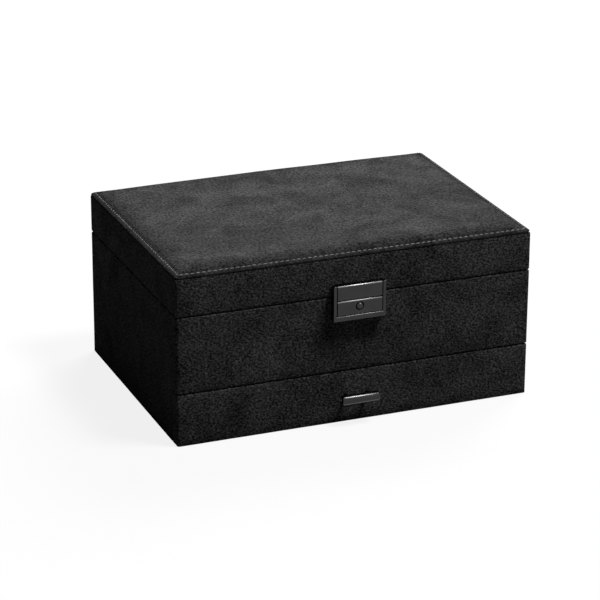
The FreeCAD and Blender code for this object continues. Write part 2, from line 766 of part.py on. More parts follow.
def lid_wrap():
    """The suede band round the lid, turned over both rims."""
    skin = lid_shape(0).cut(lid_shape(SKIN))
    return skin.cut([*keeper_spikes(), *lid_mortises(), *lid_hinge_screws()])


def lid_lining():
    x, y = lid_inner_x - LINING_CLEARANCE, lid_inner_y - LINING_CLEARANCE
    return block((-x, x), (-y, y), (lid_board_low - LINING, lid_board_low))


def lid_card():
    y = half_depth - CARD_INSET
    z = (lid_side_top, lid_side_top + CARD)
    return rounded_block(half_width - CARD_INSET, (-y, y), z, BORDER_CORNER - CARD_INSET)


def pillow(foot, rise, inset, section):
    """A padded form on a rectangle: a loft of sections that climbs steeply at its edge and levels out."""
    stations = (0.0, 0.3, 1.0)
    sections = []
    for station in stations:
        lift = math.sqrt(1 - (1 - station) ** 2)
        margin = BORDER + inset + ROLL * station
        y = half_depth - margin
        radius = PAD_CORNER + ROLL * station / 2
        sections.append(section(half_width - margin, (-y, y), radius, foot + rise * lift))
    return Part.makeLoft(sections, True, True)


card_top = lid_side_top + CARD


def lid_foam():
    """The padding between card and cover, cut off straight at its corners."""
    return pillow(card_top, CROWN, COVER, cropped_outline)


def lid_top_cover():
    """The stitched suede top: a flat hem on the card and a crowned field over the padding."""
    hem = rounded_block(half_width, (-half_depth, half_depth), (card_top, HEIGHT), BORDER_CORNER)
    hem = bevelled(hem, COVER / 2, at_level(HEIGHT))
    field = pillow(HEIGHT, CROWN, 0, outline)
    return fused([hem, field]).cut(lid_foam())


# Drawer

drawer_low = base_top + GLIDE
drawer_top = rail_low - DRAWER_TOP_CLEARANCE
drawer_outer_x = inner_x - DRAWER_SIDE_CLEARANCE
drawer_inner_x = drawer_outer_x - DRAWER_SIDE
drawer_back_y = drawer_front_back + DRAWER_LENGTH
drawer_back_front = drawer_back_y - DRAWER_SIDE
drawer_panel_low = drawer_low + DRAWER_BOARD_LIFT
drawer_panel_top = drawer_panel_low + DRAWER_BOARD
drawer_floor = drawer_panel_top + DRAWER_LINING
drawer_back_top = rail_low + STOP_LIFT
drawer_front_z = (FLOOR_GAP, DRAWER_SEAM - SEAM_GAP / 2)
drawer_side_blank = block(
    (drawer_inner_x, drawer_outer_x), (drawer_front_back - GROOVE, drawer_back_y), (drawer_low, drawer_top)
)
drawer_back_blank = block(
    (-drawer_inner_x - DRAWER_GROOVE, drawer_inner_x + DRAWER_GROOVE),
    (drawer_back_front, drawer_back_y),
    (drawer_low, drawer_back_top),
)
drawer_panel_blank = block(
    (-drawer_inner_x - DRAWER_GROOVE, drawer_inner_x + DRAWER_GROOVE),
    (drawer_front_back - DRAWER_GROOVE, drawer_back_front + DRAWER_GROOVE),
    (drawer_panel_low, drawer_panel_top),
)


def drawer_front_shape(inset):
    """The drawer front with its face and edges drawn in by inset."""
    x = half_width - inset
    z = (drawer_front_z[0] + inset, drawer_front_z[1] - inset)
    radius = CORNER_RADIUS - inset
    long_block = rounded_block(x, (front_y + inset, drawer_front_back + radius + MARGIN), z, radius)
    if not inset:
        is_rim = lambda box: at_level(z[0])(box) or at_level(z[1])(box)
        long_block = bevelled(long_block, EDGE_BEVEL, is_rim)
    keep = block((-half_width, half_width), (front_y, drawer_front_back), (0, rail_low))
    return long_block.common(keep)


def drawer_front():
    board = drawer_front_shape(SKIN)
    return board.cut([*both_sides(drawer_side_blank), drawer_panel_blank, *pull_screws()])


def drawer_front_wrap():
    skin = drawer_front_shape(0).cut(drawer_front_shape(SKIN))
    return skin.cut([*both_sides(drawer_side_blank), *pull_screws()])


def drawer_side():
    return drawer_side_blank.cut([drawer_back_blank, drawer_panel_blank])


def drawer_back():
    """Higher than the sides in the middle, so that it meets the stops under the floor."""
    side_relief = block(
        (drawer_inner_x, drawer_outer_x),
        (drawer_back_front - MARGIN, drawer_back_y + MARGIN),
        (drawer_top, drawer_back_top + MARGIN),
    )
    return drawer_back_blank.cut([drawer_panel_blank, *both_sides(side_relief)])


def drawer_stops():
    """Blocks under the floor, behind the front rail, that the drawer's back meets at full travel."""
    rear = drawer_back_front - DRAWER_TRAVEL - STOP_PLAY
    x = (STOP_OFFSET - STOP_WIDTH / 2, STOP_OFFSET + STOP_WIDTH / 2)
    return both_sides(block(x, (rear - STOP_LENGTH, rear), (drawer_top + STOP_CLEARANCE, FLOOR_LOW)))


def drawer_lining():
    y = (drawer_front_back, drawer_back_front)
    return block((-drawer_inner_x, drawer_inner_x), y, (drawer_panel_top, drawer_floor))


divider_z = (drawer_floor, drawer_top - DRAWER_DIVIDER_DROP)
cell_space = drawer_back_front - drawer_front_back


def drawer_centre_divider():
    y = (drawer_front_back, drawer_back_front)
    return block((-DRAWER_DIVIDER / 2, DRAWER_DIVIDER / 2), y, divider_z)


def drawer_cross_dividers():
    """Dividers that part the right half of the drawer into cells."""
    pitch = (cell_space + DRAWER_DIVIDER) / DRAWER_CELLS
    x = (DRAWER_DIVIDER / 2, drawer_inner_x)
    lines = [drawer_front_back - DRAWER_DIVIDER / 2 + index * pitch for index in range(1, DRAWER_CELLS)]
    return [block(x, (y - DRAWER_DIVIDER / 2, y + DRAWER_DIVIDER / 2), divider_z) for y in lines]


def ring_rolls():
    """Foam rolls side by side in the left half of the drawer, round on top."""
    width = cell_space / ROLLS
    radius = width / 2 - ROLL_CLEARANCE
    x = (-drawer_inner_x + ROLL_CLEARANCE, -DRAWER_DIVIDER / 2 - ROLL_CLEARANCE)
    length = x[1] - x[0]
    spring_line = drawer_floor + ROLL_HEIGHT - radius
    rolls = []
    for offset in spread(ROLLS, cell_space):
        y = (drawer_front_back + drawer_back_front) / 2 + offset
        low_left, low_right = point(x[0], y - radius, drawer_floor), point(x[0], y + radius, drawer_floor)
        left, right = point(x[0], y - radius, spring_line), point(x[0], y + radius, spring_line)
        arch = Part.Arc(right, point(x[0], y, spring_line + radius), left)
        edges = [
            Part.LineSegment(low_left, low_right).toShape(),
            Part.LineSegment(low_right, right).toShape(),
            arch.toShape(),
            Part.LineSegment(left, low_left).toShape(),
        ]
        rolls.append(Part.Face(Part.Wire(edges)).extrude(point(length, 0, 0)))
    return rolls


def pull():
    """A round bar on two posts, in one casting."""
    bar_y = front_y - PULL_GAP - PULL_RADIUS
    half = PULL_LENGTH / 2
    bar = rod(PULL_RADIUS, point(-half, bar_y, PULL_LEVEL), point(half, bar_y, PULL_LEVEL))
    bar = bevelled(bar, PULL_END_BEVEL, lambda box: near(box.XMin, box.XMax))
    x = PULL_POST_SPACING / 2
    post = rod(PULL_POST_RADIUS, point(x, bar_y, PULL_LEVEL), point(x, front_y, PULL_LEVEL))
    return fused([bar, *both_sides(post)]).cut(pull_screws())


def nodes():
    """Every sub-part by the name of its node."""
    liner_left, liner_right, liner_front, liner_back = liners()
    right_wall = case_side_wall()
    right_rail = lid_side_rail()
    right_drawer_side = drawer_side()
    return {
        "case_left_wall": [mirrored(right_wall)],
        "case_right_wall": [right_wall],
        "case_back_wall": [case_back_wall()],
        "case_front_rail": [case_front_rail()],
        "case_floor": [floor_blank],
        "case_base": [base_blank],
        "case_wrap": [case_wrap()],
        "base_felt": [base_felt()],
        "liner_left": [liner_left],
        "liner_right": [liner_right],
        "liner_front": [liner_front],
        "liner_back": [liner_back],
        "tray_pad": [tray_pad()],
        "row_dividers": row_dividers(),
        "column_dividers": column_dividers(),
        "cufflink_cushions": cufflink_cushions(),
        "drawer_glides": drawer_glides(),
        "drawer_stops": drawer_stops(),
        "hinge_case_leaves": at_hinges([hinge_case_leaf()]),
        "hinge_pins": at_hinges([hinge_pin()]),
        "hinge_case_screws": case_hinge_screws(),
        "clasp_housing": [clasp_housing()],
        "clasp_case_plate": [clasp_case_plate()],
        "clasp_spring": [clasp_spring()],
        "clasp_button": [clasp_button()],
        "clasp_bolt": [clasp_bolt()],
        "lid_left_rail": [mirrored(right_rail)],
        "lid_right_rail": [right_rail],
        "lid_front_rail": [lid_front_rail()],
        "lid_back_rail": [lid_back_rail()],
        "lid_top_board": [lid_board_blank],
        "lid_card": [lid_card()],
        "lid_foam": [lid_foam()],
        "lid_top_cover": [lid_top_cover()],
        "lid_wrap": [lid_wrap()],
        "lid_lining": [lid_lining()],
        "hinge_lid_leaves": at_hinges([hinge_lid_leaf()]),
        "hinge_lid_screws": lid_hinge_screws(),
        "clasp_keeper": [clasp_keeper()],
        "drawer_front": [drawer_front()],
        "drawer_front_wrap": [drawer_front_wrap()],
        "drawer_left_side": [mirrored(right_drawer_side)],
        "drawer_right_side": [right_drawer_side],
        "drawer_back": [drawer_back()],
        "drawer_bottom": [drawer_panel_blank],
        "drawer_lining": [drawer_lining()],
        "drawer_centre_divider": [drawer_centre_divider()],
        "drawer_cross_dividers": drawer_cross_dividers(),
        "ring_rolls": ring_rolls(),
        "pull": [pull()],
        "pull_screws": pull_screws(),
    }


def main():
    os.makedirs("parts", exist_ok=True)
    for name, shapes in nodes().items():
        solids = [solid for shape in shapes for solid in shape.Solids]
        whole = solids[0] if len(solids) == 1 else Part.makeCompound(solids)
        if not whole.isValid():
            print("not valid:", name)
        whole.exportStep(os.path.join("parts", name + ".step"))
        print(f"{name}: {len(solids)} solid(s), {whole.Volume:.1f} mm3")


main()
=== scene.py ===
"""Looks of a cufflink box with a drawer: suede, padding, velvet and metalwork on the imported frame."""

import json
import math
import random

import bmesh
import bpy
from mathutils import Matrix, Vector, noise


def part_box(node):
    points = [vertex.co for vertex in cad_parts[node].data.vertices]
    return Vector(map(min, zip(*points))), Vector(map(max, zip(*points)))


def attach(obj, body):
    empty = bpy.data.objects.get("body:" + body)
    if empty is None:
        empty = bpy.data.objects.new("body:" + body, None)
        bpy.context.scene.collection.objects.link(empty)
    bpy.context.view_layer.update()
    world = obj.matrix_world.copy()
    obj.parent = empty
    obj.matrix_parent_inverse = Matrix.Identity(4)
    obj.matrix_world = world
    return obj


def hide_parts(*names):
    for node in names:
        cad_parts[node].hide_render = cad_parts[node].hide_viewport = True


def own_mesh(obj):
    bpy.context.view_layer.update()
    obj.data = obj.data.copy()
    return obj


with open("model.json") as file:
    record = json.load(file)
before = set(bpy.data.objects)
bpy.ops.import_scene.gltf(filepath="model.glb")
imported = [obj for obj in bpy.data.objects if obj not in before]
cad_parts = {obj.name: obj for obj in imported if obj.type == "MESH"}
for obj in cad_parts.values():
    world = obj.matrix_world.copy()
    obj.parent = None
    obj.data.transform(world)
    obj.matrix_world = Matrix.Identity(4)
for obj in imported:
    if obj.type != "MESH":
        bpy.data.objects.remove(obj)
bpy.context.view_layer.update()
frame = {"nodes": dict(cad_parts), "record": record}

MM = 0.001

# Outer sizes, in millimetres as all the sizes here are
HALF_WIDTH = 122.5
HALF_DEPTH = 87.5
CORNER = 1.5  # radius of the upright corners

# Suede
SUEDE = 0.74  # its thickness
TURNED = 0.85  # radius of an edge that it is turned over
TUCKED = 0.2  # radius of the edges next to the ground
FACE_STEP = 7.0  # size of its small faces

# Case
CASE_LOW = 0.12
CASE_TOP = 87.2
CASE_INNER = (113.3, 78.3)
BAY_BACK = -76.9
RAIL_LOW = 35.8
POCKET = (8.7, 76.7, 85.5)  # half width, foot and top of the hole for the clasp's cup

# Lid
LID_LOW = 87.8
LID_SIDE_TOP = 113.4
LID_INNER = (114.1, 79.1)
LID_SEAT = (118.1, 83.1)  # rebate for the lid's board
HEM_LOW = 113.9
HEM_TOP = 115.0
HEM_CREST = 115.45  # where the stitches run
HEM_CORNER = 3.0
STITCH_INSET = 2.65
STITCH_PITCH = 3.75
STITCH_CORNER = 1.5
STITCH_STRAIGHT = 1.1  # length between the ends that dip
THREAD_RADIUS = 0.3
SEAM_INSET = 4.0
PAD_RISE = 3.3  # of the padding above its seam
PAD_ROLL = 0.215  # share of the swelling at which the padding's roll ends
PAD_CROWN = 0.35  # of the middle above the roll
RIM_SHADE_WIDTH = 15.0  # width of the painted shade along the padding's rim, where the cover rolls down to its seam
RIM_SHADE_FADE = "rim_shade_fade"  # attribute that grows across that width from 0 to 1, fading the painted shade out
GRID_STEP = 1.9
GRID_INSETS = [
    0.0, 0.1, 0.25, 0.5, 0.9, 1.4, 1.9, 2.4, 2.8, 3.2, 3.6, 4.0, 4.4, 4.8, 5.3, 6.0, 6.8, 7.7, 8.8, 10.2,
]
LINING_Z = (105.9, 109.4)
LINING_HALF = (113.7, 78.7)
LINING_CROWN = 0.9

# Drawer
FACE_Z = (0.12, 35.2)
FACE_BACK = -77.5
DRAWER_FLOOR = 10.9
ROLLS = 9
ROLL_PITCH = 146.0 / ROLLS
ROLL_X = (-106.55, -1.65)
ROLL_END_GAP = 0.7
ROLL_RINGS = 22
ROLL_ARCH = 7.7  # half its width, and its height above its widest level
ROLL_FOOT = 8.6  # its height below that level

# Tray
CELLS = (5, 4)
DIVIDER = 3.0
LINER_INNER = (111.3, 76.3)
CELL_PITCH = tuple((2 * half + DIVIDER) / count for half, count in zip(LINER_INNER, CELLS))
TRAY_FLOOR = 43.5
CUSHION_HALF = (19.9, 16.8)
CUSHION_TOP = 65.5
CUSHION_SWELL = 0.9  # room for its top to swell into
CUSHION_ROWS = 11  # of small faces along each of its sides
SLIT_COLUMNS = 7  # how many of them the slit is long
SLIT_HALF = (14.5, 0.8)

# Metalwork
FOOT_TOP = 75.4  # of the clasp's foot rim
RUB_AND_HIGHLIGHT_REACH = 1.3  # from a casting's edge to the end of its bright part: rubbed plating and painted highlight
END_ROLL = 1.4  # radius at the ends of the bar pull
POST_X = (-7.5, 7.5)
POST_RADIUS = 1.45
PULL_LEVEL = 18.3
LEAF_SCREW_X = (-82.0, -62.0, 62.0, 82.0)
LEAF_SCREW_Y = 83.9
LEAF_LOW_FACE = 87.4  # of the case's hinge leaves, where their screws' heads lie
LEAF_HIGH_FACE = 87.6  # of the lid's

# Edge radius of the nodes whose shape is right and whose edges are too sharp
SOFTENED = {
    "liner_left": 0.8, "liner_right": 0.8, "liner_front": 0.8, "liner_back": 0.8, "tray_pad": 0.4,
    "base_felt": 0.4, "row_dividers": 0.9, "column_dividers": 0.9, "drawer_glides": 0.25,
    "drawer_left_side": 0.8, "drawer_right_side": 0.8, "drawer_back": 0.7, "drawer_lining": 0.3,
    "drawer_centre_divider": 0.9, "drawer_cross_dividers": 0.9, "hinge_case_leaves": 0.12,
    "hinge_lid_leaves": 0.12, "hinge_pins": 0.1,
}
SLOTS = {part["node"]: part["material_slot"] for part in frame["record"]["subparts"]}
BODIES = {node: body for body, nodes in frame["record"]["behaviour"]["bodies"].items() for node in nodes}

# Making
BEYOND = 5.0  # how far a cutter reaches past what it cuts
SLACK = 0.05  # for choosing faces that lie within a place
SWELL_FRAMES = 20  # that a cloth simulation runs

# Light, floor and camera
AMBIENT = 0.035
FLOOR_COLOUR = 0.14  # for the light that it throws back on the box
FLOOR_SEEN = 1.0  # for the camera
FLOOR_WHITE = 0.86  # share of plain white in what the camera sees of it
CAMERA_TURN = (-21.793, 21.214, 0.252)  # azimuth, elevation and roll in degrees
CAMERA_PLACE = (-3.883, 48.116, 1836.26)  # to its own right, up and back from the origin
FOCAL_PIXELS = 2707.43
FRAME_PIXELS = 600
SENSOR_WIDTH = 36.0

random.seed(7)


# Modelling by hand, in code


def clamped(value):
    return min(1.0, max(0.0, value))


def spread(half):
    return (-half, half)


def loose():
    """Leaves nothing selected and nothing open for editing."""
    if bpy.context.object and bpy.context.object.mode != "OBJECT":
        bpy.ops.object.mode_set(mode="OBJECT")
    bpy.ops.object.select_all(action="DESELECT")


def take(piece):
    """Selects one piece alone."""
    loose()
    piece.select_set(True)
    bpy.context.view_layer.objects.active = piece
    return piece


def work(piece):
    """Opens a piece for editing."""
    take(piece)
    bpy.ops.object.mode_set(mode="EDIT")


def done():
    bpy.ops.object.mode_set(mode="OBJECT")


def named(name):
    piece = bpy.context.active_object
    piece.name = name
    piece.data.name = name
    return piece


def block(name, x, y, z):
    """A block between two corners, from a (low, high) pair in millimetres for each axis."""
    loose()
    pairs = (x, y, z)
    bpy.ops.mesh.primitive_cube_add(size=1, location=[MM * sum(pair) / 2 for pair in pairs])
    piece = named(name)
    piece.scale = [MM * (high - low) for low, high in pairs]
    bpy.ops.object.transform_apply(location=True, rotation=False, scale=True)
    return piece


def rod(name, sides, radius, length, axis, middle=(0, 0, 0)):
    """A closed rod along an axis about its middle, in millimetres."""
    loose()
    turn = {"X": (0, math.pi / 2, 0), "Y": (math.pi / 2, 0, 0), "Z": (0, 0, 0)}[axis]
    bpy.ops.mesh.primitive_cylinder_add(
        vertices=sides, radius=radius * MM, depth=length * MM,
        location=[MM * part for part in middle], rotation=turn,
    )
    piece = named(name)
    bpy.ops.object.transform_apply(location=True, rotation=True, scale=True)
    return piece


def draw_out(x=0.0, z=0.0):
    """Extrudes what is selected by this much."""
    bpy.ops.mesh.extrude_region_move(TRANSFORM_OT_translate={"value": (x * MM, 0, z * MM)})


def scaled(x, y, z, level=0.0):
    """Scales what is selected about a point on the upright axis."""
    bpy.ops.transform.resize(value=(x, y, z), center_override=(0.0, 0.0, level * MM))


def pick(piece, kind, test):
    """Selects the corners, edges or faces whose corner points, in millimetres, pass the test."""
    bpy.ops.mesh.select_mode(type=kind)
    bpy.ops.mesh.select_all(action="DESELECT")
    mesh = bmesh.from_edit_mesh(piece.data)
    parts = {"VERT": mesh.verts, "EDGE": mesh.edges, "FACE": mesh.faces}[kind]
    for part in parts:
        corners = [part] if kind == "VERT" else part.verts
        if test([corner.co / MM for corner in corners]):
            part.select_set(True)
    mesh.select_flush_mode()
    bmesh.update_edit_mesh(piece.data)


def near(a, b, slack=0.02):
    return abs(a - b) < slack


def all_at(points, axis, value):
    return value is not None and all(near(p[axis], value) for p in points)


def upright(points):
    a, b = points
    return near(a.x, b.x) and near(a.y, b.y) and not near(a.z, b.z)


def round_edges(piece, radius, segments, test):
    pick(piece, "EDGE", test)
    bpy.ops.mesh.bevel(offset=radius * MM, segments=segments, affect="EDGES", clamp_overlap=False)


def apply(piece, kind, **settings):
    """Adds a modifier with these settings and applies it."""
    take(piece)
    modifier = piece.modifiers.new(kind.title(), kind)
    for key, value in settings.items():
        setattr(modifier, key, value)
    bpy.ops.object.modifier_apply(modifier=modifier.name)
    return piece


def cut(piece, *cutters):
    for cutter in cutters:
        apply(piece, "BOOLEAN", operation="DIFFERENCE", solver="EXACT", object=cutter)
        bpy.data.objects.remove(cutter)


def smooth(piece, angle):
    take(piece)
    bpy.ops.object.shade_smooth_by_angle(angle=math.radians(angle))
    return piece


def outward(piece):
    """Merges doubles and turns every face to the outside."""
    work(piece)
    bpy.ops.mesh.select_all(action="SELECT")
    bpy.ops.mesh.remove_doubles(threshold=0.005 * MM)
    bpy.ops.mesh.normals_make_consistent(inside=False)
    done()
    return piece


def copied(piece, name):
    """A copy with a mesh of its own."""
    twin = piece.copy()
    twin.data = piece.data.copy()
    twin.name = name
    twin.data.name = name
    bpy.context.scene.collection.objects.link(twin)
    return twin


def joined(pieces, name):
    take(pieces[0])
    for piece in pieces:
        piece.select_set(True)
    bpy.ops.object.join()
    return named(name)


def moved(piece, x=0.0, y=0.0, z=0.0):
    piece.data.transform(Matrix.Translation(Vector((x, y, z)) * MM))
    return piece


def softened(node, radius, segments=2):
    """A copy of a node with its sharp edges rounded, to stand for the node."""
    source = frame["nodes"][node]
    piece = copied(source, "worked_" + node)
    piece.parent = None
    for key in list(piece.keys()):
        if key.startswith("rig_"):
            del piece[key]
    work(piece)
    bpy.ops.mesh.customdata_custom_splitnormals_clear()
    bpy.ops.mesh.select_all(action="SELECT")
    bpy.ops.mesh.remove_doubles(threshold=0.002 * MM)
    bpy.ops.mesh.dissolve_limited(angle_limit=math.radians(1.0))
    done()
    apply(
        piece, "BEVEL", width=radius * MM, segments=segments, limit_method="ANGLE",
        angle_limit=math.radians(30), miter_outer="MITER_ARC",
    )
    return smooth(piece, 40)


def shift_points(piece, move):
    """Moves each corner point by what move returns for its place and normal, all in millimetres."""
    mesh = piece.data
    for vertex in mesh.vertices:
        vertex.co += move(vertex.co / MM, vertex.normal) * MM
    mesh.update()


def blow_up(piece, pinned, pressure):
    """Swells a piece with a cloth simulation that leaves the pinned points where they are."""
    take(piece)
    group = piece.vertex_groups.new(name="pinned")
    group.add(pinned, 1.0, "REPLACE")
    cloth = piece.modifiers.new("Cloth", "CLOTH")
    cloth.settings.vertex_group_mass = "pinned"
    cloth.settings.use_pressure = True
    cloth.settings.uniform_pressure_force = pressure
    cloth.settings.effector_weights.gravity = 0
    cloth.point_cache.frame_start = 1
    cloth.point_cache.frame_end = SWELL_FRAMES
    for number in range(1, SWELL_FRAMES + 1):
        bpy.context.scene.frame_set(number)
    bpy.ops.object.modifier_apply(modifier=cloth.name)
    bpy.context.scene.frame_set(1)
    piece.vertex_groups.clear()


def puff(piece, cap, pressure, held):
    """Swells a closed pad, and holds each point within cap of where it started."""
    start = [vertex.co.copy() for vertex in piece.data.vertices]
    blow_up(piece, [index for index, place in enumerate(start) if held(place / MM)], pressure)
    limit = cap * MM
    for vertex, place in zip(piece.data.vertices, start):
        shift = vertex.co - place
        length = shift.length
        if length > 1e-9:
            vertex.co = place + shift * (limit * (1 - math.exp(-length / limit)) / length)


# Finishes


def grey(value):
    return (value, value, value, 1.0)


def new_group(name, inputs):
    """A group that takes a place and these inputs, and gives a colour, a roughness and a height."""
    group = bpy.data.node_groups.new(name, "ShaderNodeTree")
    number, colour = "NodeSocketFloat", "NodeSocketColor"
    group.interface.new_socket("Place", in_out="INPUT", socket_type="NodeSocketVector")
    for label, value in inputs.items():
        kind = number if isinstance(value, float) else colour
        group.interface.new_socket(label, in_out="INPUT", socket_type=kind).default_value = value
    for label, kind in (("Colour", colour), ("Roughness", number), ("Height", number)):
        group.interface.new_socket(label, in_out="OUTPUT", socket_type=kind)
    return group


def wire(tree, nodes, links):
    """Adds nodes to a tree and links them from "key.socket" pairs.

    Each node is a key, its type without the word ShaderNode, its properties and the values of its sockets.
    """
    made = {}
    for key, kind, properties, values in nodes:
        node = tree.nodes.new(kind if kind.startswith("NodeGroup") else "ShaderNode" + kind)
        node.name = key
        for name, value in properties.items():
            setattr(node, name, value)
        for name, value in values.items():
            node.inputs[name].default_value = value
        made[key] = node
    for start, end in links:
        key, socket = start.split(".")
        other, entry = end.split(".")
        out = made[key].outputs[int(socket) if socket.isdigit() else socket]
        into = made[other].inputs[int(entry) if entry.isdigit() else entry]
        tree.links.new(out, into)
    return made


def nap_group():
    """Short pile: a grain of fine specks and, under it, wide brushed clouds."""
    group = new_group(
        "Nap",
        {
            "Deep": grey(0.01), "Raised": grey(0.05), "Grain": 1000.0, "Grain amount": 0.6,
            "Grain middle": 0.5, "Grain softness": 0.17, "Cloud": 30.0, "Cloud amount": 0.4,
        },
    )
    wire(
        group,
        [
            ("in", "NodeGroupInput", {}, {}),
            ("out", "NodeGroupOutput", {}, {}),
            ("lay", "Mapping", {}, {"Scale": (0.85, 0.6, 1.25)}),
            ("grain", "TexNoise", {}, {"Detail": 3.0, "Roughness": 0.6, "Distortion": 0.3}),
            ("cloud", "TexNoise", {}, {"Detail": 4.0, "Roughness": 0.55, "Distortion": 0.8}),
            ("low", "Math", {"operation": "SUBTRACT"}, {}),
            ("high", "Math", {"operation": "ADD"}, {}),
            ("crisp", "MapRange", {}, {}),
            ("drift", "MapRange", {}, {"From Min": 0.28, "From Max": 0.72}),
            ("patch", "MapRange", {}, {"From Min": 0.3, "From Max": 0.7, "To Min": 0.7, "To Max": 1.2}),
            ("patchy", "Math", {"operation": "MULTIPLY"}, {}),
            ("grain share", "Math", {"operation": "MULTIPLY"}, {}),
            ("cloud share", "Math", {"operation": "MULTIPLY"}, {}),
            ("sum", "Math", {"operation": "ADD", "use_clamp": True}, {}),
            ("tint", "Mix", {"data_type": "RGBA"}, {}),
            ("matt", "MapRange", {}, {"To Min": 1.0, "To Max": 0.82}),
        ],
        [
            ("in.Place", "lay.Vector"), ("lay.0", "grain.Vector"), ("in.Grain", "grain.Scale"),
            ("in.Place", "cloud.Vector"), ("in.Cloud", "cloud.Scale"),
            ("in.Grain middle", "low.0"), ("in.Grain softness", "low.1"),
            ("in.Grain middle", "high.0"), ("in.Grain softness", "high.1"),
            ("low.0", "crisp.From Min"), ("high.0", "crisp.From Max"),
            ("grain.0", "crisp.Value"), ("cloud.0", "drift.Value"),
            ("cloud.0", "patch.Value"), ("crisp.0", "patchy.0"), ("patch.0", "patchy.1"),
            ("patchy.0", "grain share.0"), ("in.Grain amount", "grain share.1"),
            ("drift.0", "cloud share.0"), ("in.Cloud amount", "cloud share.1"),
            ("grain share.0", "sum.0"), ("cloud share.0", "sum.1"),
            ("sum.0", "tint.0"), ("in.Deep", "tint.6"), ("in.Raised", "tint.7"),
            ("drift.0", "matt.Value"),
            ("tint.2", "out.Colour"), ("matt.0", "out.Roughness"), ("crisp.0", "out.Height"),
        ],
    )
    return group


def metal_group():
    """Plated metal: fine brushing and faint smudges."""
    group = new_group("Plated", {"Dark": grey(0.05), "Bright": grey(0.1), "Polish": 0.3})
    wire(
        group,
        [
            ("in", "NodeGroupInput", {}, {}),
            ("out", "NodeGroupOutput", {}, {}),
            ("stretch", "Mapping", {}, {"Scale": (0.12, 1.0, 1.0)}),
            ("brush", "TexNoise", {}, {"Scale": 2600.0, "Detail": 3.0, "Roughness": 0.7}),
            ("smudge", "TexNoise", {}, {"Scale": 120.0, "Detail": 3.0, "Roughness": 0.5}),
            ("tint", "Mix", {"data_type": "RGBA"}, {}),
            ("wear", "MapRange", {}, {"From Min": 0.3, "From Max": 0.7, "To Min": -0.06, "To Max": 0.08}),
            ("rough", "Math", {"operation": "ADD"}, {}),
        ],
        [
            ("in.Place", "stretch.Vector"), ("stretch.0", "brush.Vector"), ("in.Place", "smudge.Vector"),
            ("smudge.0", "tint.0"), ("in.Dark", "tint.6"), ("in.Bright", "tint.7"),
            ("smudge.0", "wear.Value"), ("wear.0", "rough.0"), ("in.Polish", "rough.1"),
            ("tint.2", "out.Colour"), ("rough.0", "out.Roughness"), ("brush.0", "out.Height"),
        ],
    )
    return group


def finish(name, group, values, bump, constants):
    """A material: a group on Object coordinates feeds colour, roughness and bump of one Principled BSDF."""
    material = bpy.data.materials.new(name)
    material.use_nodes = True
    tree = material.node_tree
    tree.nodes.clear()
    strength, depth = bump
    wire(
        tree,
        [
            ("place", "TexCoord", {}, {}),
            ("surface", "Group", {"node_tree": group}, values),
            ("bump", "Bump", {}, {"Strength": strength, "Distance": depth}),
            ("shader", "BsdfPrincipled", {}, constants),
            ("out", "OutputMaterial", {}, {}),
        ],
        [
            ("place.Object", "surface.Place"),
            ("surface.Colour", "shader.Base Color"), ("surface.Roughness", "shader.Roughness"),
            ("surface.Height", "bump.Height"), ("bump.Normal", "shader.Normal"),
            ("shader.BSDF", "out.Surface"),
        ],
    )
    return material


NAP = nap_group()
PLATED = metal_group()


def pile(name, deep, raised, grain, grain_amount, cloud, cloud_amount, bump, sheen, speck=(0.5, 0.17)):
    """A napped finish, from a deep grey to a raised one, by its grain and its brushed clouds.

    Bump is a strength and a depth in metres, and sheen a weight and a roughness. Speck is the level at which
    the grain turns pale, and how softly it does.
    """
    middle, softness = speck
    values = {
        "Deep": grey(deep), "Raised": grey(raised), "Grain": grain, "Grain amount": grain_amount,
        "Grain middle": middle, "Grain softness": softness, "Cloud": cloud, "Cloud amount": cloud_amount,
    }
    weight, roughness = sheen
    constants = {
        "Specular IOR Level": 0.0, "Sheen Weight": weight, "Sheen Roughness": roughness,
        "Sheen Tint": grey(0.8),
    }
    return finish(name, NAP, values, bump, constants)


def metal(name, dark, bright, polish):
    """A plated finish between two greys, with the roughness that its polish leaves."""
    values = {"Dark": grey(dark), "Bright": grey(bright), "Polish": polish}
    return finish(name, PLATED, values, (0.05, 0.00005), {"Metallic": 1.0})


def paint_rim_shade(material):
    """Paints shade into a nap's colour along the rim of the padding, where the cover rolls down to its seam.
    """
    tree = material.node_tree
    made = wire(
        tree,
        [
            ("rise", "Attribute", {"attribute_name": RIM_SHADE_FADE}, {}),
            ("shade", "MapRange", {"interpolation_type": "SMOOTHSTEP"}, {"To Min": 0.66}),
            ("press", "Mix", {"data_type": "RGBA", "blend_type": "MULTIPLY"}, {0: 1.0}),
        ],
        [("rise.Fac", "shade.Value"), ("shade.0", "press.7")],
    )
    tree.links.new(tree.nodes["surface"].outputs["Colour"], made["press"].inputs[6])
    tree.links.new(made["press"].outputs[2], tree.nodes["shader"].inputs["Base Color"])


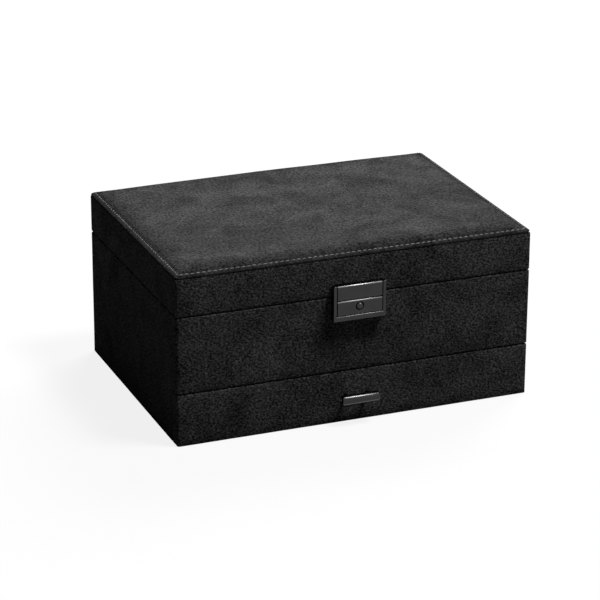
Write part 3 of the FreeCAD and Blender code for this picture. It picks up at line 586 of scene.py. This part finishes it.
FINISHES = {
    "suede": pile("Suede", 0.002, 0.23, 760.0, 0.68, 40.0, 0.1, (1.0, 0.0006), (0.15, 0.4), (0.56, 0.14)),
    "velvet": pile("Velvet", 0.014, 0.06, 2200.0, 0.5, 45.0, 0.4, (0.35, 0.0003), (0.8, 0.3)),
    "felt": pile("Felt", 0.012, 0.045, 1500.0, 0.8, 60.0, 0.2, (0.7, 0.0006), (0.1, 0.5)),
    "foam": pile("Foam", 0.05, 0.12, 1800.0, 0.8, 50.0, 0.1, (0.8, 0.0006), (0.0, 0.5)),
    "board": pile("Black board", 0.008, 0.022, 900.0, 0.6, 20.0, 0.3, (0.25, 0.0002), (0.0, 0.5)),
    "card": pile("Card", 0.03, 0.06, 1500.0, 0.5, 20.0, 0.3, (0.2, 0.0001), (0.0, 0.5)),
    "clasp_metal": metal("Gunmetal", 0.036, 0.052, 0.26),
    "pull_metal": metal("Dark nickel", 0.032, 0.045, 0.2),
    "hinge_metal": metal("Hinge steel", 0.16, 0.24, 0.34),
    "screw_metal": metal("Screw steel", 0.2, 0.3, 0.3),
    "spring_metal": metal("Spring steel", 0.3, 0.4, 0.25),
}
FINISHES["velvet_board"] = FINISHES["velvet"]
stretched_suede = pile("Stretched suede", 0.002, 0.15, 780.0, 0.6, 40.0, 0.16, (1.0, 0.0004), (0.2, 0.4))
# The padding's suede gets painted shade along its rim, where it rolls down to the seam
paint_rim_shade(stretched_suede)
folded_suede = pile("Folded suede", 0.001, 0.068, 780.0, 0.62, 40.0, 0.16, (1.0, 0.0004), (0.12, 0.4))
thread = pile("Thread", 0.24, 0.44, 3500.0, 0.8, 150.0, 0.2, (0.6, 0.0002), (0.1, 0.4))
# Brighter plating for the clasp's upper front edges: partly rubbed wear, partly a painted highlight of the
# lamps
rubbed_edge_and_highlight = metal("Rubbed edge and highlight", 0.12, 0.2, 0.3)


def settle(piece, body, slot, *nodes, coat=None):
    """Gives a piece its finish, its body and its slot, and hides the nodes that it stands for."""
    piece.data.materials.clear()
    piece.data.materials.append(coat or FINISHES[slot])
    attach(piece, body)
    if nodes:
        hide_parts(*nodes)
    return piece


# Suede on the boards


def planed(piece):
    """Cuts a sheet into a grid of small faces, so that it can lie a little unevenly."""
    work(piece)
    for axis, (low, high) in enumerate((spread(HALF_WIDTH), spread(HALF_DEPTH), (0.0, HEM_TOP))):
        normal = [float(axis == other) for other in range(3)]
        count = int((high - low) / FACE_STEP)
        for index in range(1, count):
            level = MM * (low + (high - low) * index / count)
            bpy.ops.mesh.select_all(action="SELECT")
            bpy.ops.mesh.bisect(plane_co=[level * part for part in normal], plane_no=normal)
    done()


def uneven(place, normal):
    """How far glued suede stands off a true plane, in millimetres."""
    swell = noise.noise(place / 31.0) + 0.5 * noise.noise(place / 12.0 + Vector((5, 5, 5)))
    return normal * (0.09 * swell - 0.05)


def on_outline(points):
    return all(
        near(abs(p.x), HALF_WIDTH) or near(abs(p.y), HALF_DEPTH)
        or (abs(p.x) > HALF_WIDTH - CORNER and abs(p.y) > HALF_DEPTH - CORNER)
        for p in points
    )


def within(points, half_x, half_y):
    return all(abs(p.x) < half_x + SLACK and abs(p.y) < half_y + SLACK for p in points)


def clad(piece, board_shows, turned, foot):
    """Turns a solid into the suede that covers it.

    Faces where the board shows are dropped, edges that the suede is turned over are rounded, and what is left
    gets its thickness inwards.
    """
    work(piece)
    pick(piece, "FACE", board_shows)
    bpy.ops.mesh.delete(type="FACE")
    round_edges(piece, TURNED, 3, lambda points: turned(points) and not all_at(points, 2, foot))
    round_edges(piece, TUCKED, 2, lambda points: turned(points) and all_at(points, 2, foot))
    done()
    planed(piece)
    shift_points(piece, uneven)
    apply(piece, "SOLIDIFY", thickness=SUEDE * MM, offset=-1.0, use_even_offset=True)
    return smooth(piece, 40)


def round_corners(piece, test=upright):
    work(piece)
    round_edges(piece, CORNER, 5, test)
    done()


def case_suede():
    """The suede round the case, open at the top, at the drawer's bay and behind the clasp."""
    piece = block("case_suede", spread(HALF_WIDTH), spread(HALF_DEPTH), (CASE_LOW, CASE_TOP))
    round_corners(piece)
    x, y = CASE_INNER
    pocket_x, pocket_low, pocket_top = POCKET
    low, front = CASE_LOW - BEYOND, -HALF_DEPTH - BEYOND
    cut(
        piece,
        block("inside", spread(x), spread(y), (low, CASE_TOP + BEYOND)),
        block("bay", spread(HALF_WIDTH + BEYOND), (front, BAY_BACK), (low, RAIL_LOW)),
        block("pocket", spread(pocket_x), (front, -y + BEYOND), (pocket_low, pocket_top)),
    )

    def in_pocket(points):
        level = all(pocket_low - SLACK < p.z < pocket_top + SLACK for p in points)
        return level and within(points, pocket_x, HALF_DEPTH)

    def board_shows(points):
        return within(points, x, y) or all_at(points, 2, CASE_LOW) or in_pocket(points)

    def turned(points):
        if all_at(points, 2, CASE_TOP):
            return on_outline(points)
        if all_at(points, 2, RAIL_LOW):
            return on_outline(points) and not all_at(points, 1, BAY_BACK)
        return all_at(points, 1, BAY_BACK) and all(near(abs(p.x), HALF_WIDTH) for p in points)

    clad(piece, board_shows, turned, CASE_LOW)
    return settle(piece, "case", "suede", "case_wrap")


def lid_band():
    """The suede round the lid's sides, open at the top, where the padded cover lies."""
    piece = block("lid_band", spread(HALF_WIDTH), spread(HALF_DEPTH), (LID_LOW, LID_SIDE_TOP))
    round_corners(piece)
    x, y = LID_INNER
    seat_x, seat_y = LID_SEAT
    top = LID_SIDE_TOP + BEYOND
    cut(
        piece,
        block("inside", spread(x), spread(y), (LID_LOW - BEYOND, top)),
        block("seat", spread(seat_x), spread(seat_y), (LINING_Z[1], top)),
    )

    def board_shows(points):
        return within(points, seat_x, seat_y) and not all_at(points, 2, LID_LOW)

    def turned(points):
        return on_outline(points) and (all_at(points, 2, LID_LOW) or all_at(points, 2, LID_SIDE_TOP))

    clad(piece, board_shows, turned, None)
    return settle(piece, "lid", "suede", "lid_wrap")


def drawer_face():
    """The suede over the drawer's front board, open at the back."""
    piece = block("drawer_face", spread(HALF_WIDTH), (-HALF_DEPTH, FACE_BACK), FACE_Z)
    round_corners(piece, lambda points: upright(points) and all_at(points, 1, -HALF_DEPTH))

    def turned(points):
        return any(all_at(points, 2, z) for z in FACE_Z) and not all_at(points, 1, FACE_BACK)

    clad(piece, lambda points: all_at(points, 1, FACE_BACK), turned, FACE_Z[0])
    return settle(piece, "drawer", "suede", "drawer_front_wrap")


# Padded top of the lid


def edge_distance(x, y, blend=2.4):
    """Distance in from the lid's edge, with its lines rounded at the corners."""
    to_x, to_y = HALF_WIDTH - abs(x), HALF_DEPTH - abs(y)
    low = min(to_x, to_y)
    if abs(to_x - to_y) > 12 * blend:
        return low
    return low - blend * math.log(math.exp(-(to_x - low) / blend) + math.exp(-(to_y - low) / blend))


def bell(value, middle, width):
    return math.exp(-(((value - middle) / width) ** 2))


def hem_height(x, y):
    """Height of the stitched margin: a soft outer edge, the stitched channel and the seam of the padding."""
    soft, shoulder_drop, shoulder_width = 0.4, 1.2, 2.4
    channel_depth, seam_depth, groove_width = 0.2, 0.4, 0.7
    pucker_depth, pucker_width = 0.12, 1.2
    inset = edge_distance(x, y, 0.8)
    edge = soft - math.sqrt(max(0.0, soft**2 - max(0.0, soft - inset) ** 2))
    shoulder = shoulder_drop * max(0.0, 1 - inset / shoulder_width) ** 2
    channel = channel_depth * bell(inset, STITCH_INSET, groove_width)
    seam = seam_depth * bell(edge_distance(x, y), SEAM_INSET, groove_width)
    along = x if HALF_DEPTH - abs(y) < HALF_WIDTH - abs(x) else y
    wave = math.cos(math.tau * along / STITCH_PITCH)
    pucker = pucker_depth * wave * bell(inset, STITCH_INSET + 0.7, pucker_width)
    return HEM_CREST - edge - shoulder - channel - seam - pucker


def grid_lines(half):
    """Places across the lid: close together at the hem and the seam, wider over the padding."""
    inner = half - GRID_INSETS[-1]
    count = 2 * round(inner / GRID_STEP)
    middle = [-inner + 2 * inner * index / count for index in range(1, count)]
    low = [-half + inset for inset in GRID_INSETS]
    return low + middle + [-place for place in reversed(low)]


def to_corner(x, y):
    """Carries a point of a square grid into the hem's rounded corner."""
    centre_x, centre_y = HALF_WIDTH - HEM_CORNER, HALF_DEPTH - HEM_CORNER
    over_x, over_y = abs(x) - centre_x, abs(y) - centre_y
    if over_x <= 0 or over_y <= 0:
        return x, y
    reach = max(over_x, over_y)
    eighth = math.pi / 4
    angle = eighth * over_y / over_x if over_x >= over_y else math.pi / 2 - eighth * over_x / over_y
    return (
        math.copysign(centre_x + reach * math.cos(angle), x),
        math.copysign(centre_y + reach * math.sin(angle), y),
    )


def lid_sheet():
    """A flat sheet over the whole lid, its lines closest where the cover bends most."""
    xs, ys = grid_lines(HALF_WIDTH), grid_lines(HALF_DEPTH)
    loose()
    bpy.ops.mesh.primitive_grid_add(x_subdivisions=len(xs) - 1, y_subdivisions=len(ys) - 1, size=2)
    piece = named("lid_pad")
    for vertex in piece.data.vertices:
        column = round((vertex.co.x + 1) / 2 * (len(xs) - 1))
        row = round((vertex.co.y + 1) / 2 * (len(ys) - 1))
        x, y = to_corner(xs[column], ys[row])
        vertex.co = Vector((x, y, HEM_TOP)) * MM
    return piece


def swell_of(piece):
    """Share of its full rise, from 0 to 1, that each point of the lid's cover takes over the padding."""
    sheet = copied(piece, "swelling_cover")
    places = [vertex.co / MM for vertex in sheet.data.vertices]
    inside = [edge_distance(p.x, p.y) - SEAM_INSET for p in places]
    blow_up(sheet, [index for index, share in enumerate(inside) if share <= 0], 4.0)
    heights = [max(0.0, vertex.co.z / MM - HEM_TOP) for vertex in sheet.data.vertices]
    bpy.data.objects.remove(sheet)
    top = max(heights) or 1.0
    return [height / top for height in heights]


def lumps(x, y):
    """Unevenness of the padding: wide waves with smaller ones on them."""
    wide = noise.noise(Vector((x / 26.0, y / 26.0, 1.0)))
    return wide + 0.5 * noise.noise(Vector((x / 9.0, y / 9.0, 4.0)))


def close_edge(piece, steps, level):
    """Turns an open sheet's edge over by (rise, inset) steps and closes it with a flat face at a level."""
    work(piece)
    pick(piece, "EDGE", lambda points: False)
    bpy.ops.mesh.select_non_manifold()
    for rise, inset in steps:
        draw_out(z=rise)
        scaled(1 - inset / HALF_WIDTH, 1 - inset / HALF_DEPTH, 1)
    scaled(1, 1, 0, level)
    bpy.ops.mesh.edge_face_add()
    done()
    outward(piece)
    return smooth(piece, 60)


def lid_pad():
    """The lid's cover: a stitched hem round soft padding, with shade painted into its colour along the
    padding's rim.
    """
    piece = lid_sheet()
    for vertex, share in zip(piece.data.vertices, swell_of(piece)):
        x, y = vertex.co.x / MM, vertex.co.y / MM
        rise = PAD_RISE * (1 - (1 - min(1.0, share / PAD_ROLL)) ** 2.2) + PAD_CROWN * share
        padded = clamped((edge_distance(x, y) - SEAM_INSET) / 10.0)
        vertex.co.z = (hem_height(x, y) + rise + 0.14 * lumps(x, y) * padded) * MM
    apply(piece, "SUBSURF", levels=1, render_levels=1)
    close_edge(piece, ((-0.1, 0.0), (-0.1, 0.1), (-0.05, 0.5)), HEM_LOW)
    settle(piece, "lid", "suede", "lid_top_cover", "lid_foam", coat=stretched_suede)
    piece.data.materials.append(folded_suede)
    for face in piece.data.polygons:
        if edge_distance(face.center.x / MM, face.center.y / MM) < SEAM_INSET:
            face.material_index = 1
    # Mask of the painted shade: 0 at the seam, rising to 1 at the rim shade's width in
    rise = piece.data.attributes.new(RIM_SHADE_FADE, "FLOAT", "POINT")
    for vertex, value in zip(piece.data.vertices, rise.data):
        deep = edge_distance(vertex.co.x / MM, vertex.co.y / MM) - SEAM_INSET
        value.value = clamped(deep / RIM_SHADE_WIDTH)
    return piece


def stitch_places():
    """Place and direction of each stitch: equal steps along the hem, from the middle of its front."""
    half_x, half_y, radius = HALF_WIDTH - STITCH_INSET, HALF_DEPTH - STITCH_INSET, STITCH_CORNER
    straight_x, straight_y, arc = half_x - radius, half_y - radius, math.pi * radius / 2
    lengths = [straight_x, arc, 2 * straight_y, arc, 2 * straight_x, arc, 2 * straight_y, arc, straight_x]
    total = sum(lengths)
    count = round(total / STITCH_PITCH)
    for index in range(count):
        travel = (index + 0.5) * total / count
        place, heading = Vector((0, -half_y)), 0.0
        for number, length in enumerate(lengths):
            step = min(travel, length)
            if number % 2:
                turn = step / radius
                side = Vector((-math.sin(heading), math.cos(heading)))
                centre = place + side * radius
                place = centre + Matrix.Rotation(turn, 2) @ (place - centre)
                heading += turn
            else:
                place = place + Vector((math.cos(heading), math.sin(heading))) * step
            travel -= step
            if travel <= 1e-9:
                break
        yield place, heading


def one_stitch():
    """A short length of thread whose two ends taper and dip into the cover."""
    stitch = rod("stitch", 6, THREAD_RADIUS, STITCH_STRAIGHT, "X")
    work(stitch)
    for end in (-1, 1):
        tip = end * STITCH_STRAIGHT / 2
        for reach, drop, size in ((0.4, 0.08, 0.85), (0.3, 0.22, 0.55)):
            pick(stitch, "FACE", lambda points: all_at(points, 0, tip))
            draw_out(x=end * reach, z=-drop)
            tip += end * reach
            scaled(1, size, size, picked_level(stitch))
    done()
    return smooth(stitch, 80)


def picked_level(piece):
    """Mean height of the selected points of a piece that is open for editing."""
    heights = [vertex.co.z for vertex in bmesh.from_edit_mesh(piece.data).verts if vertex.select]
    return sum(heights) / len(heights) / MM


def lid_stitching():
    """A row of thread stitches round the hem, no two quite alike."""
    stitch = one_stitch()
    row = []
    for number, (place, heading) in enumerate(stitch_places()):
        twin = copied(stitch, f"stitch_{number}")
        height = hem_height(place.x, place.y) + 0.15 + random.uniform(-0.03, 0.03)
        lean = heading + random.uniform(-0.07, 0.07)
        turn = Matrix.Rotation(lean, 4, "Z")
        stretch = Matrix.Diagonal((random.uniform(0.92, 1.06), random.uniform(0.9, 1.1), 1.0, 1.0))
        twin.data.transform(Matrix.Translation(Vector((place.x, place.y, height)) * MM) @ turn @ stretch)
        row.append(twin)
    bpy.data.objects.remove(stitch)
    return settle(joined(row, "lid_stitching"), "lid", "suede", coat=thread)


# Cushions of the tray, rolls of the drawer and lining of the lid


def in_slit(place):
    return abs(place.x) < SLIT_HALF[0] + 0.1 and abs(place.y) < SLIT_HALF[1] + 0.1


def tray_cushion():
    """A soft block with a slit, modelled about the middle of its foot."""
    half_x, half_y = CUSHION_HALF
    high = CUSHION_TOP - TRAY_FLOOR - CUSHION_SWELL
    piece = block("cushion", spread(half_x), spread(half_y), (0, high))
    work(piece)
    bpy.ops.mesh.select_all(action="SELECT")
    bpy.ops.mesh.subdivide(number_cuts=CUSHION_ROWS - 1)
    done()
    slit_x, slit_y = SLIT_HALF
    for vertex in piece.data.vertices:
        place = vertex.co / MM
        if near(abs(place.y), half_y / CUSHION_ROWS, 0.1):
            vertex.co.y = math.copysign(slit_y * MM, place.y)
        if near(abs(place.x), half_x * SLIT_COLUMNS / CUSHION_ROWS, 0.1):
            vertex.co.x = math.copysign(slit_x * MM, place.x)
    work(piece)
    pick(piece, "FACE", lambda points: all_at(points, 2, high) and all(map(in_slit, points)))
    for step in (1.0, 3.5, 4.0, 4.0):
        draw_out(z=-step)
    done()
    soften_outer(piece, half_x, half_y, high)
    puff(piece, cap=0.8, pressure=4.0, held=lambda p: p.z < 0.1)
    apply(piece, "SUBSURF", levels=1, render_levels=1)
    outward(piece)
    return smooth(piece, 70)


def soften_outer(piece, half_x, half_y, high, radius=3.0):
    """Rounds a block's upright and upper edges by drawing their points in to a rounded box."""
    for vertex in piece.data.vertices:
        place = vertex.co / MM
        over_x = max(0.0, abs(place.x) - (half_x - radius))
        over_y = max(0.0, abs(place.y) - (half_y - radius))
        over_z = 0.0 if in_slit(place) else max(0.0, place.z - (high - radius))
        over = Vector((over_x, over_y, over_z))
        if over.length > radius:
            pull_in = over - over.normalized() * radius
            pull_in.x = math.copysign(pull_in.x, place.x)
            pull_in.y = math.copysign(pull_in.y, place.y)
            vertex.co -= pull_in * MM


def tray_cushions():
    pattern = tray_cushion()
    columns, rows = CELLS
    first_x, first_y = (-half + (pitch - DIVIDER) / 2 for half, pitch in zip(LINER_INNER, CELL_PITCH))
    for row in range(rows):
        for column in range(columns):
            piece = copied(pattern, f"cushion_{row + 1}_{column + 1}")
            x, y = first_x + column * CELL_PITCH[0], first_y + row * CELL_PITCH[1]
            seed = Vector((column * 7.0, row * 5.0, 3.0))

            def slack(place, normal):
                free = clamped(place.z / 8.0)
                return normal * (0.16 * free * noise.noise(place / 9.0 + seed) - 0.02)

            shift_points(piece, slack)
            moved(piece, x, y, TRAY_FLOOR)
            settle(piece, "case", "velvet", "cufflink_cushions")
    bpy.data.objects.remove(pattern)


def ring_roll():
    """A velvet roll along X, with the middle of its foot at the origin.

    It is round above and flat where it rests, and its ends are gathered.
    """
    half_length = (ROLL_X[1] - ROLL_X[0]) / 2 - ROLL_END_GAP
    piece = rod("roll", 28, 1.0, 2 * half_length, "X")
    work(piece)
    for index in range(1, ROLL_RINGS):
        place = MM * (-half_length + 2 * half_length * index / ROLL_RINGS)
        bpy.ops.mesh.select_all(action="SELECT")
        bpy.ops.mesh.bisect(plane_co=(place, 0, 0), plane_no=(1, 0, 0))
    for end in (-half_length, half_length):
        for inset, push in ((0.12, 0.35), (0.2, 0.25), (0.25, 0.05), (0.2, -0.15)):
            pick(piece, "FACE", lambda points: end_face(points, end))
            bpy.ops.mesh.inset(thickness=inset * MM, depth=0.0)
            bpy.ops.transform.translate(value=(math.copysign(push * MM, end), 0, 0))
    done()
    for vertex in piece.data.vertices:
        across, up = vertex.co.y / MM, vertex.co.z / MM
        size = math.hypot(across, up)
        if size > 1e-6:
            across, up = across / size, up / size
            if up < 0:
                across = math.copysign(abs(across) ** 0.5, across)
                up = -abs(up) ** 0.5
        tall = ROLL_ARCH if up >= 0 else ROLL_FOOT
        vertex.co.y = size * ROLL_ARCH * across * MM
        vertex.co.z = (ROLL_FOOT + size * tall * up) * MM
    puff(piece, cap=0.25, pressure=3.0, held=lambda p: p.z < 0.2)
    apply(piece, "SUBSURF", levels=1, render_levels=1)
    outward(piece)
    return smooth(piece, 70)


def end_face(points, end):
    """Whether these points are the middle face of an end: the one with the most corners."""
    return len(points) > 8 and all(p.x * end > 0 and abs(p.x) > abs(end) - 2 for p in points)


def ring_rolls():
    pattern = ring_roll()
    middle = (ROLL_X[0] + ROLL_X[1]) / 2
    for number in range(ROLLS):
        piece = copied(pattern, f"ring_roll_{number + 1}")
        y = FACE_BACK + (number + 0.5) * ROLL_PITCH
        seed = Vector((number * 11.0, 2.0, 6.0))

        def slack(place, normal):
            free = clamped(place.z / 6.0)
            stretched = Vector((place.x / 14.0, place.y / 5.0, place.z / 5.0))
            return normal * (0.14 * free * noise.noise(stretched + seed) - 0.05)

        shift_points(piece, slack)
        moved(piece, middle, y, DRAWER_FLOOR)
        settle(piece, "drawer", "velvet", "ring_rolls")
    bpy.data.objects.remove(pattern)


def lid_lining():
    """Velvet over thin padding inside the lid, crowned towards the tray."""
    half_x, half_y = LINING_HALF
    low, high = LINING_Z
    loose()
    bpy.ops.mesh.primitive_grid_add(x_subdivisions=76, y_subdivisions=52, size=2)
    piece = named("lid_lining_pad")
    for vertex in piece.data.vertices:
        x, y = vertex.co.x * half_x, vertex.co.y * half_y
        inset = min(half_x - abs(x), half_y - abs(y))
        crown = 1 - math.exp(-inset / 7.0)
        soft = 1.6 * (1 - min(1.0, inset / 2.0)) ** 2
        dents = 0.12 * noise.noise(Vector((x / 24.0, y / 24.0, 9.0))) * min(1.0, inset / 12.0)
        vertex.co = Vector((x, y, low + LINING_CROWN + soft - LINING_CROWN * crown + dents)) * MM
    apply(piece, "SUBSURF", levels=1, render_levels=1)
    close_edge(piece, ((0.5, 0.0),), high - 0.05)
    settle(piece, "lid", "velvet", "lid_lining")
    return piece


# Metalwork and small parts


def small_parts():
    """Nodes that only need their edges softened, most where they are covered with velvet."""
    for node, radius in SOFTENED.items():
        piece = softened(node, radius, 3 if SLOTS[node].startswith("velvet") else 2)
        settle(piece, BODIES[node], SLOTS[node], node)


def clasp_castings():
    """Housing, plate and keeper of the clasp, their upper front edges brighter: plating rubbed by hands, and
    a painted highlight.
    """
    castings = {"clasp_housing": "case", "clasp_case_plate": "case", "clasp_keeper": "lid"}
    for node, body in castings.items():
        piece = softened(node, 0.14)
        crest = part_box(node)[1][2] / MM if node != "clasp_housing" else FOOT_TOP
        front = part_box(node)[0][1] / MM
        settle(piece, body, "clasp_metal", node)
        piece.data.materials.append(rubbed_edge_and_highlight)
        for face in piece.data.polygons:
            place = face.center / MM
            # Only faces slanting up and to the front, where the lamps' highlight falls, get the brighter
            # finish
            slanted = face.normal.z > 0.25 and face.normal.y < -0.25
            if slanted and abs(place.z - crest) < RUB_AND_HIGHLIGHT_REACH and place.y < front + RUB_AND_HIGHLIGHT_REACH:
                face.material_index = 1


def clasp_spring():
    """The folded spring behind the button, which flattens as the button is pressed."""
    piece = settle(softened("clasp_spring", 0.05), "case", "spring_metal", "clasp_spring")
    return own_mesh(piece)


def bar_pull():
    """A round bar with rolled ends and shallow turned centres, on two posts."""
    low, high = (Vector(corner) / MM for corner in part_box("pull"))
    radius = (high.z - low.z) / 2
    axis_y, axis_z = low.y + radius, low.z + radius
    piece = rod("bar_pull", 56, radius, high.x - low.x, "X")
    work(piece)
    for end in (low.x, high.x):
        round_edges(piece, END_ROLL, 5, lambda points: all_at(points, 0, end))
        for inset, sink in ((0.45, 0.0), (0.35, 0.3)):
            pick(piece, "FACE", lambda points: len(points) > 8 and all_at(points, 0, end))
            bpy.ops.mesh.inset(thickness=inset * MM, depth=0.0)
            bpy.ops.transform.translate(value=(-math.copysign(sink * MM, end), 0, 0))
    done()
    moved(piece, y=axis_y, z=axis_z)
    for x in POST_X:
        post = rod("post", 32, POST_RADIUS, high.y - axis_y, "Y", (x, (high.y + axis_y) / 2, axis_z))
        apply(piece, "BOOLEAN", operation="UNION", solver="EXACT", object=post)
        bpy.data.objects.remove(post)
    smooth(piece, 35)
    return settle(piece, "drawer", "pull_metal", "pull")


def screw(head_radius, head, shank_radius, length, sunk):
    """A screw that points down, the face of its cross-slotted head at the origin."""
    piece = rod("screw", 32, head_radius, head, "Z", (0, 0, -head / 2))
    work(piece)
    pick(piece, "FACE", lambda points: all_at(points, 2, -head))
    narrow = shank_radius / head_radius
    if sunk:
        scaled(narrow, narrow, 1, -head)
    else:
        bpy.ops.mesh.inset(thickness=(head_radius - shank_radius) * MM, depth=0.0)
    for share, width in ((0.55, 0.95), (0.3, 0.75), (0.15, 0.3)):
        draw_out(z=-(length - head) * share)
        scaled(width, width, 1)
    round_edges(piece, 0.12, 2, lambda points: all_at(points, 2, 0.0))
    done()
    arm, slot, deep = 0.62 * head_radius, 0.13 * head_radius, 0.55 * head
    cut(
        piece,
        block("slot", spread(arm), spread(slot), (-deep, 1.0)),
        block("cross slot", spread(slot), spread(arm), (-deep, 1.0)),
    )
    return smooth(piece, 30)


def screws():
    """The hinges' screws and those that hold the pull, each head turned a little differently."""
    leaf_screw = screw(1.85, 1.4, 0.95, 8.6, True)
    pull_screw = screw(2.1, 1.15, 1.05, 12.6, False)
    groups = {
        "hinge_case_screws": (leaf_screw, LEAF_SCREW_X, LEAF_SCREW_Y, LEAF_LOW_FACE, 0.0),
        "hinge_lid_screws": (leaf_screw, LEAF_SCREW_X, LEAF_SCREW_Y, LEAF_HIGH_FACE, math.pi),
        "pull_screws": (pull_screw, POST_X, FACE_BACK, PULL_LEVEL, -math.pi / 2),
    }
    for node, (pattern, xs, y, z, tilt) in groups.items():
        row = []
        for number, x in enumerate(xs):
            twin = copied(pattern, f"{node}_{number}")
            turn = Matrix.Rotation(tilt, 4, "X") @ Matrix.Rotation(random.uniform(0, math.tau), 4, "Z")
            twin.data.transform(Matrix.Translation(Vector((x, y, z)) * MM) @ turn)
            row.append(twin)
        settle(joined(row, "worked_" + node), BODIES[node], "screw_metal", node)
    for pattern in (leaf_screw, pull_screw):
        bpy.data.objects.remove(pattern)


def coat_nodes():
    """Gives every node the finish of its own slot, and the lid's rails the velvet that lines them."""
    rails = {"lid_left_rail", "lid_right_rail", "lid_front_rail", "lid_back_rail"}
    for name, node in frame["nodes"].items():
        coat = FINISHES["velvet" if name in rails else SLOTS[name]]
        for place in node.material_slots:
            place.material = coat


# Stage


def white_mix(tree, surface, base, white, share):
    """Mixes plain white into what the camera, a mirror or glass sees of a surface."""
    return wire(
        tree,
        [
            ("path", "LightPath", {}, {}),
            ("seen", "Math", {"operation": "MAXIMUM"}, {}),
            ("or through", "Math", {"operation": "MAXIMUM"}, {}),
            ("amount", "Math", {"operation": "MULTIPLY"}, {1: share}),
            ("mix", "MixShader", {}, {}),
            base, white,
            ("out", surface, {}, {}),
        ],
        [
            ("path.Is Camera Ray", "seen.0"), ("path.Is Glossy Ray", "seen.1"),
            ("seen.0", "or through.0"), ("path.Is Transmission Ray", "or through.1"),
            ("or through.0", "amount.0"), ("amount.0", "mix.0"),
            ("base.0", "mix.1"), ("white.0", "mix.2"), ("mix.0", "out.Surface"),
        ],
    )


def stage():
    """A pale world and a pale floor, both white to the camera where no shadow falls."""
    world = bpy.data.worlds.new("Studio")
    bpy.context.scene.world = world
    world.use_nodes = True
    world.node_tree.nodes.clear()
    white_mix(
        world.node_tree, "OutputWorld",
        ("base", "Background", {}, {"Color": grey(1.0), "Strength": AMBIENT}),
        ("white", "Background", {}, {"Color": grey(1.0), "Strength": 1.0}),
        1.0,
    )
    loose()
    bpy.ops.mesh.primitive_plane_add(size=40, location=(0, 0, 0))
    floor = named("floor")
    coat = bpy.data.materials.new("Floor")
    coat.use_nodes = True
    tree = coat.node_tree
    tree.nodes.clear()
    made = white_mix(
        tree, "OutputMaterial",
        ("base", "BsdfDiffuse", {}, {}),
        ("white", "Emission", {}, {"Color": grey(1.0), "Strength": 1.0}),
        FLOOR_WHITE,
    )
    seen = tree.nodes.new("ShaderNodeMapRange")
    seen.inputs["To Min"].default_value = FLOOR_COLOUR
    seen.inputs["To Max"].default_value = FLOOR_SEEN
    tree.links.new(made["path"].outputs["Is Camera Ray"], seen.inputs["Value"])
    tree.links.new(seen.outputs[0], made["base"].inputs["Color"])
    floor.data.materials.append(coat)


def placed(name, data):
    thing = bpy.data.objects.new(name, data)
    bpy.context.scene.collection.objects.link(thing)
    return thing


def lamp(name, direction, distance, size, energy):
    """A square soft lamp that faces the middle of the box, its places and size in metres."""
    target = Vector((0, 0, 0.06))
    place = target + Vector(direction).normalized() * distance
    data = bpy.data.lights.new(name, "AREA")
    data.shape = "SQUARE"
    data.size = size
    data.energy = energy
    light = placed(name, data)
    light.location = place
    light.rotation_euler = (target - place).to_track_quat("-Z", "Y").to_euler()


def camera():
    """Set to the measured place and turn, with a long lens."""
    azimuth, elevation, roll = (math.radians(angle) for angle in CAMERA_TURN)
    away = math.cos(elevation)
    back = Vector((math.sin(azimuth) * away, -math.cos(azimuth) * away, math.sin(elevation)))
    level = Vector((0, 0, 1)).cross(back).normalized()
    upright_axis = back.cross(level)
    right = math.cos(roll) * level + math.sin(roll) * upright_axis
    top = -math.sin(roll) * level + math.cos(roll) * upright_axis
    turn = Matrix((right, top, back)).transposed()
    data = bpy.data.cameras.new("camera")
    data.sensor_width = SENSOR_WIDTH
    data.lens = SENSOR_WIDTH * FOCAL_PIXELS / FRAME_PIXELS
    data.clip_start, data.clip_end = 0.05, 100.0
    eye = placed("camera", data)
    eye.matrix_world = turn.to_4x4()
    eye.location = turn @ (Vector(CAMERA_PLACE) * MM)
    bpy.context.scene.camera = eye


bpy.context.scene.view_settings.view_transform = "Standard"
camera()
stage()
lamp("key", (0.55, 0.54, 0.64), distance=3.5, size=1.9, energy=98.0)
lamp("overhead", (0.33, -0.25, 0.91), distance=3.0, size=0.7, energy=64.0)

coat_nodes()
case_suede()
lid_band()
drawer_face()
lid_pad()
lid_stitching()
tray_cushions()
ring_rolls()
lid_lining()
small_parts()
clasp_castings()
clasp_spring()
bar_pull()
screws()
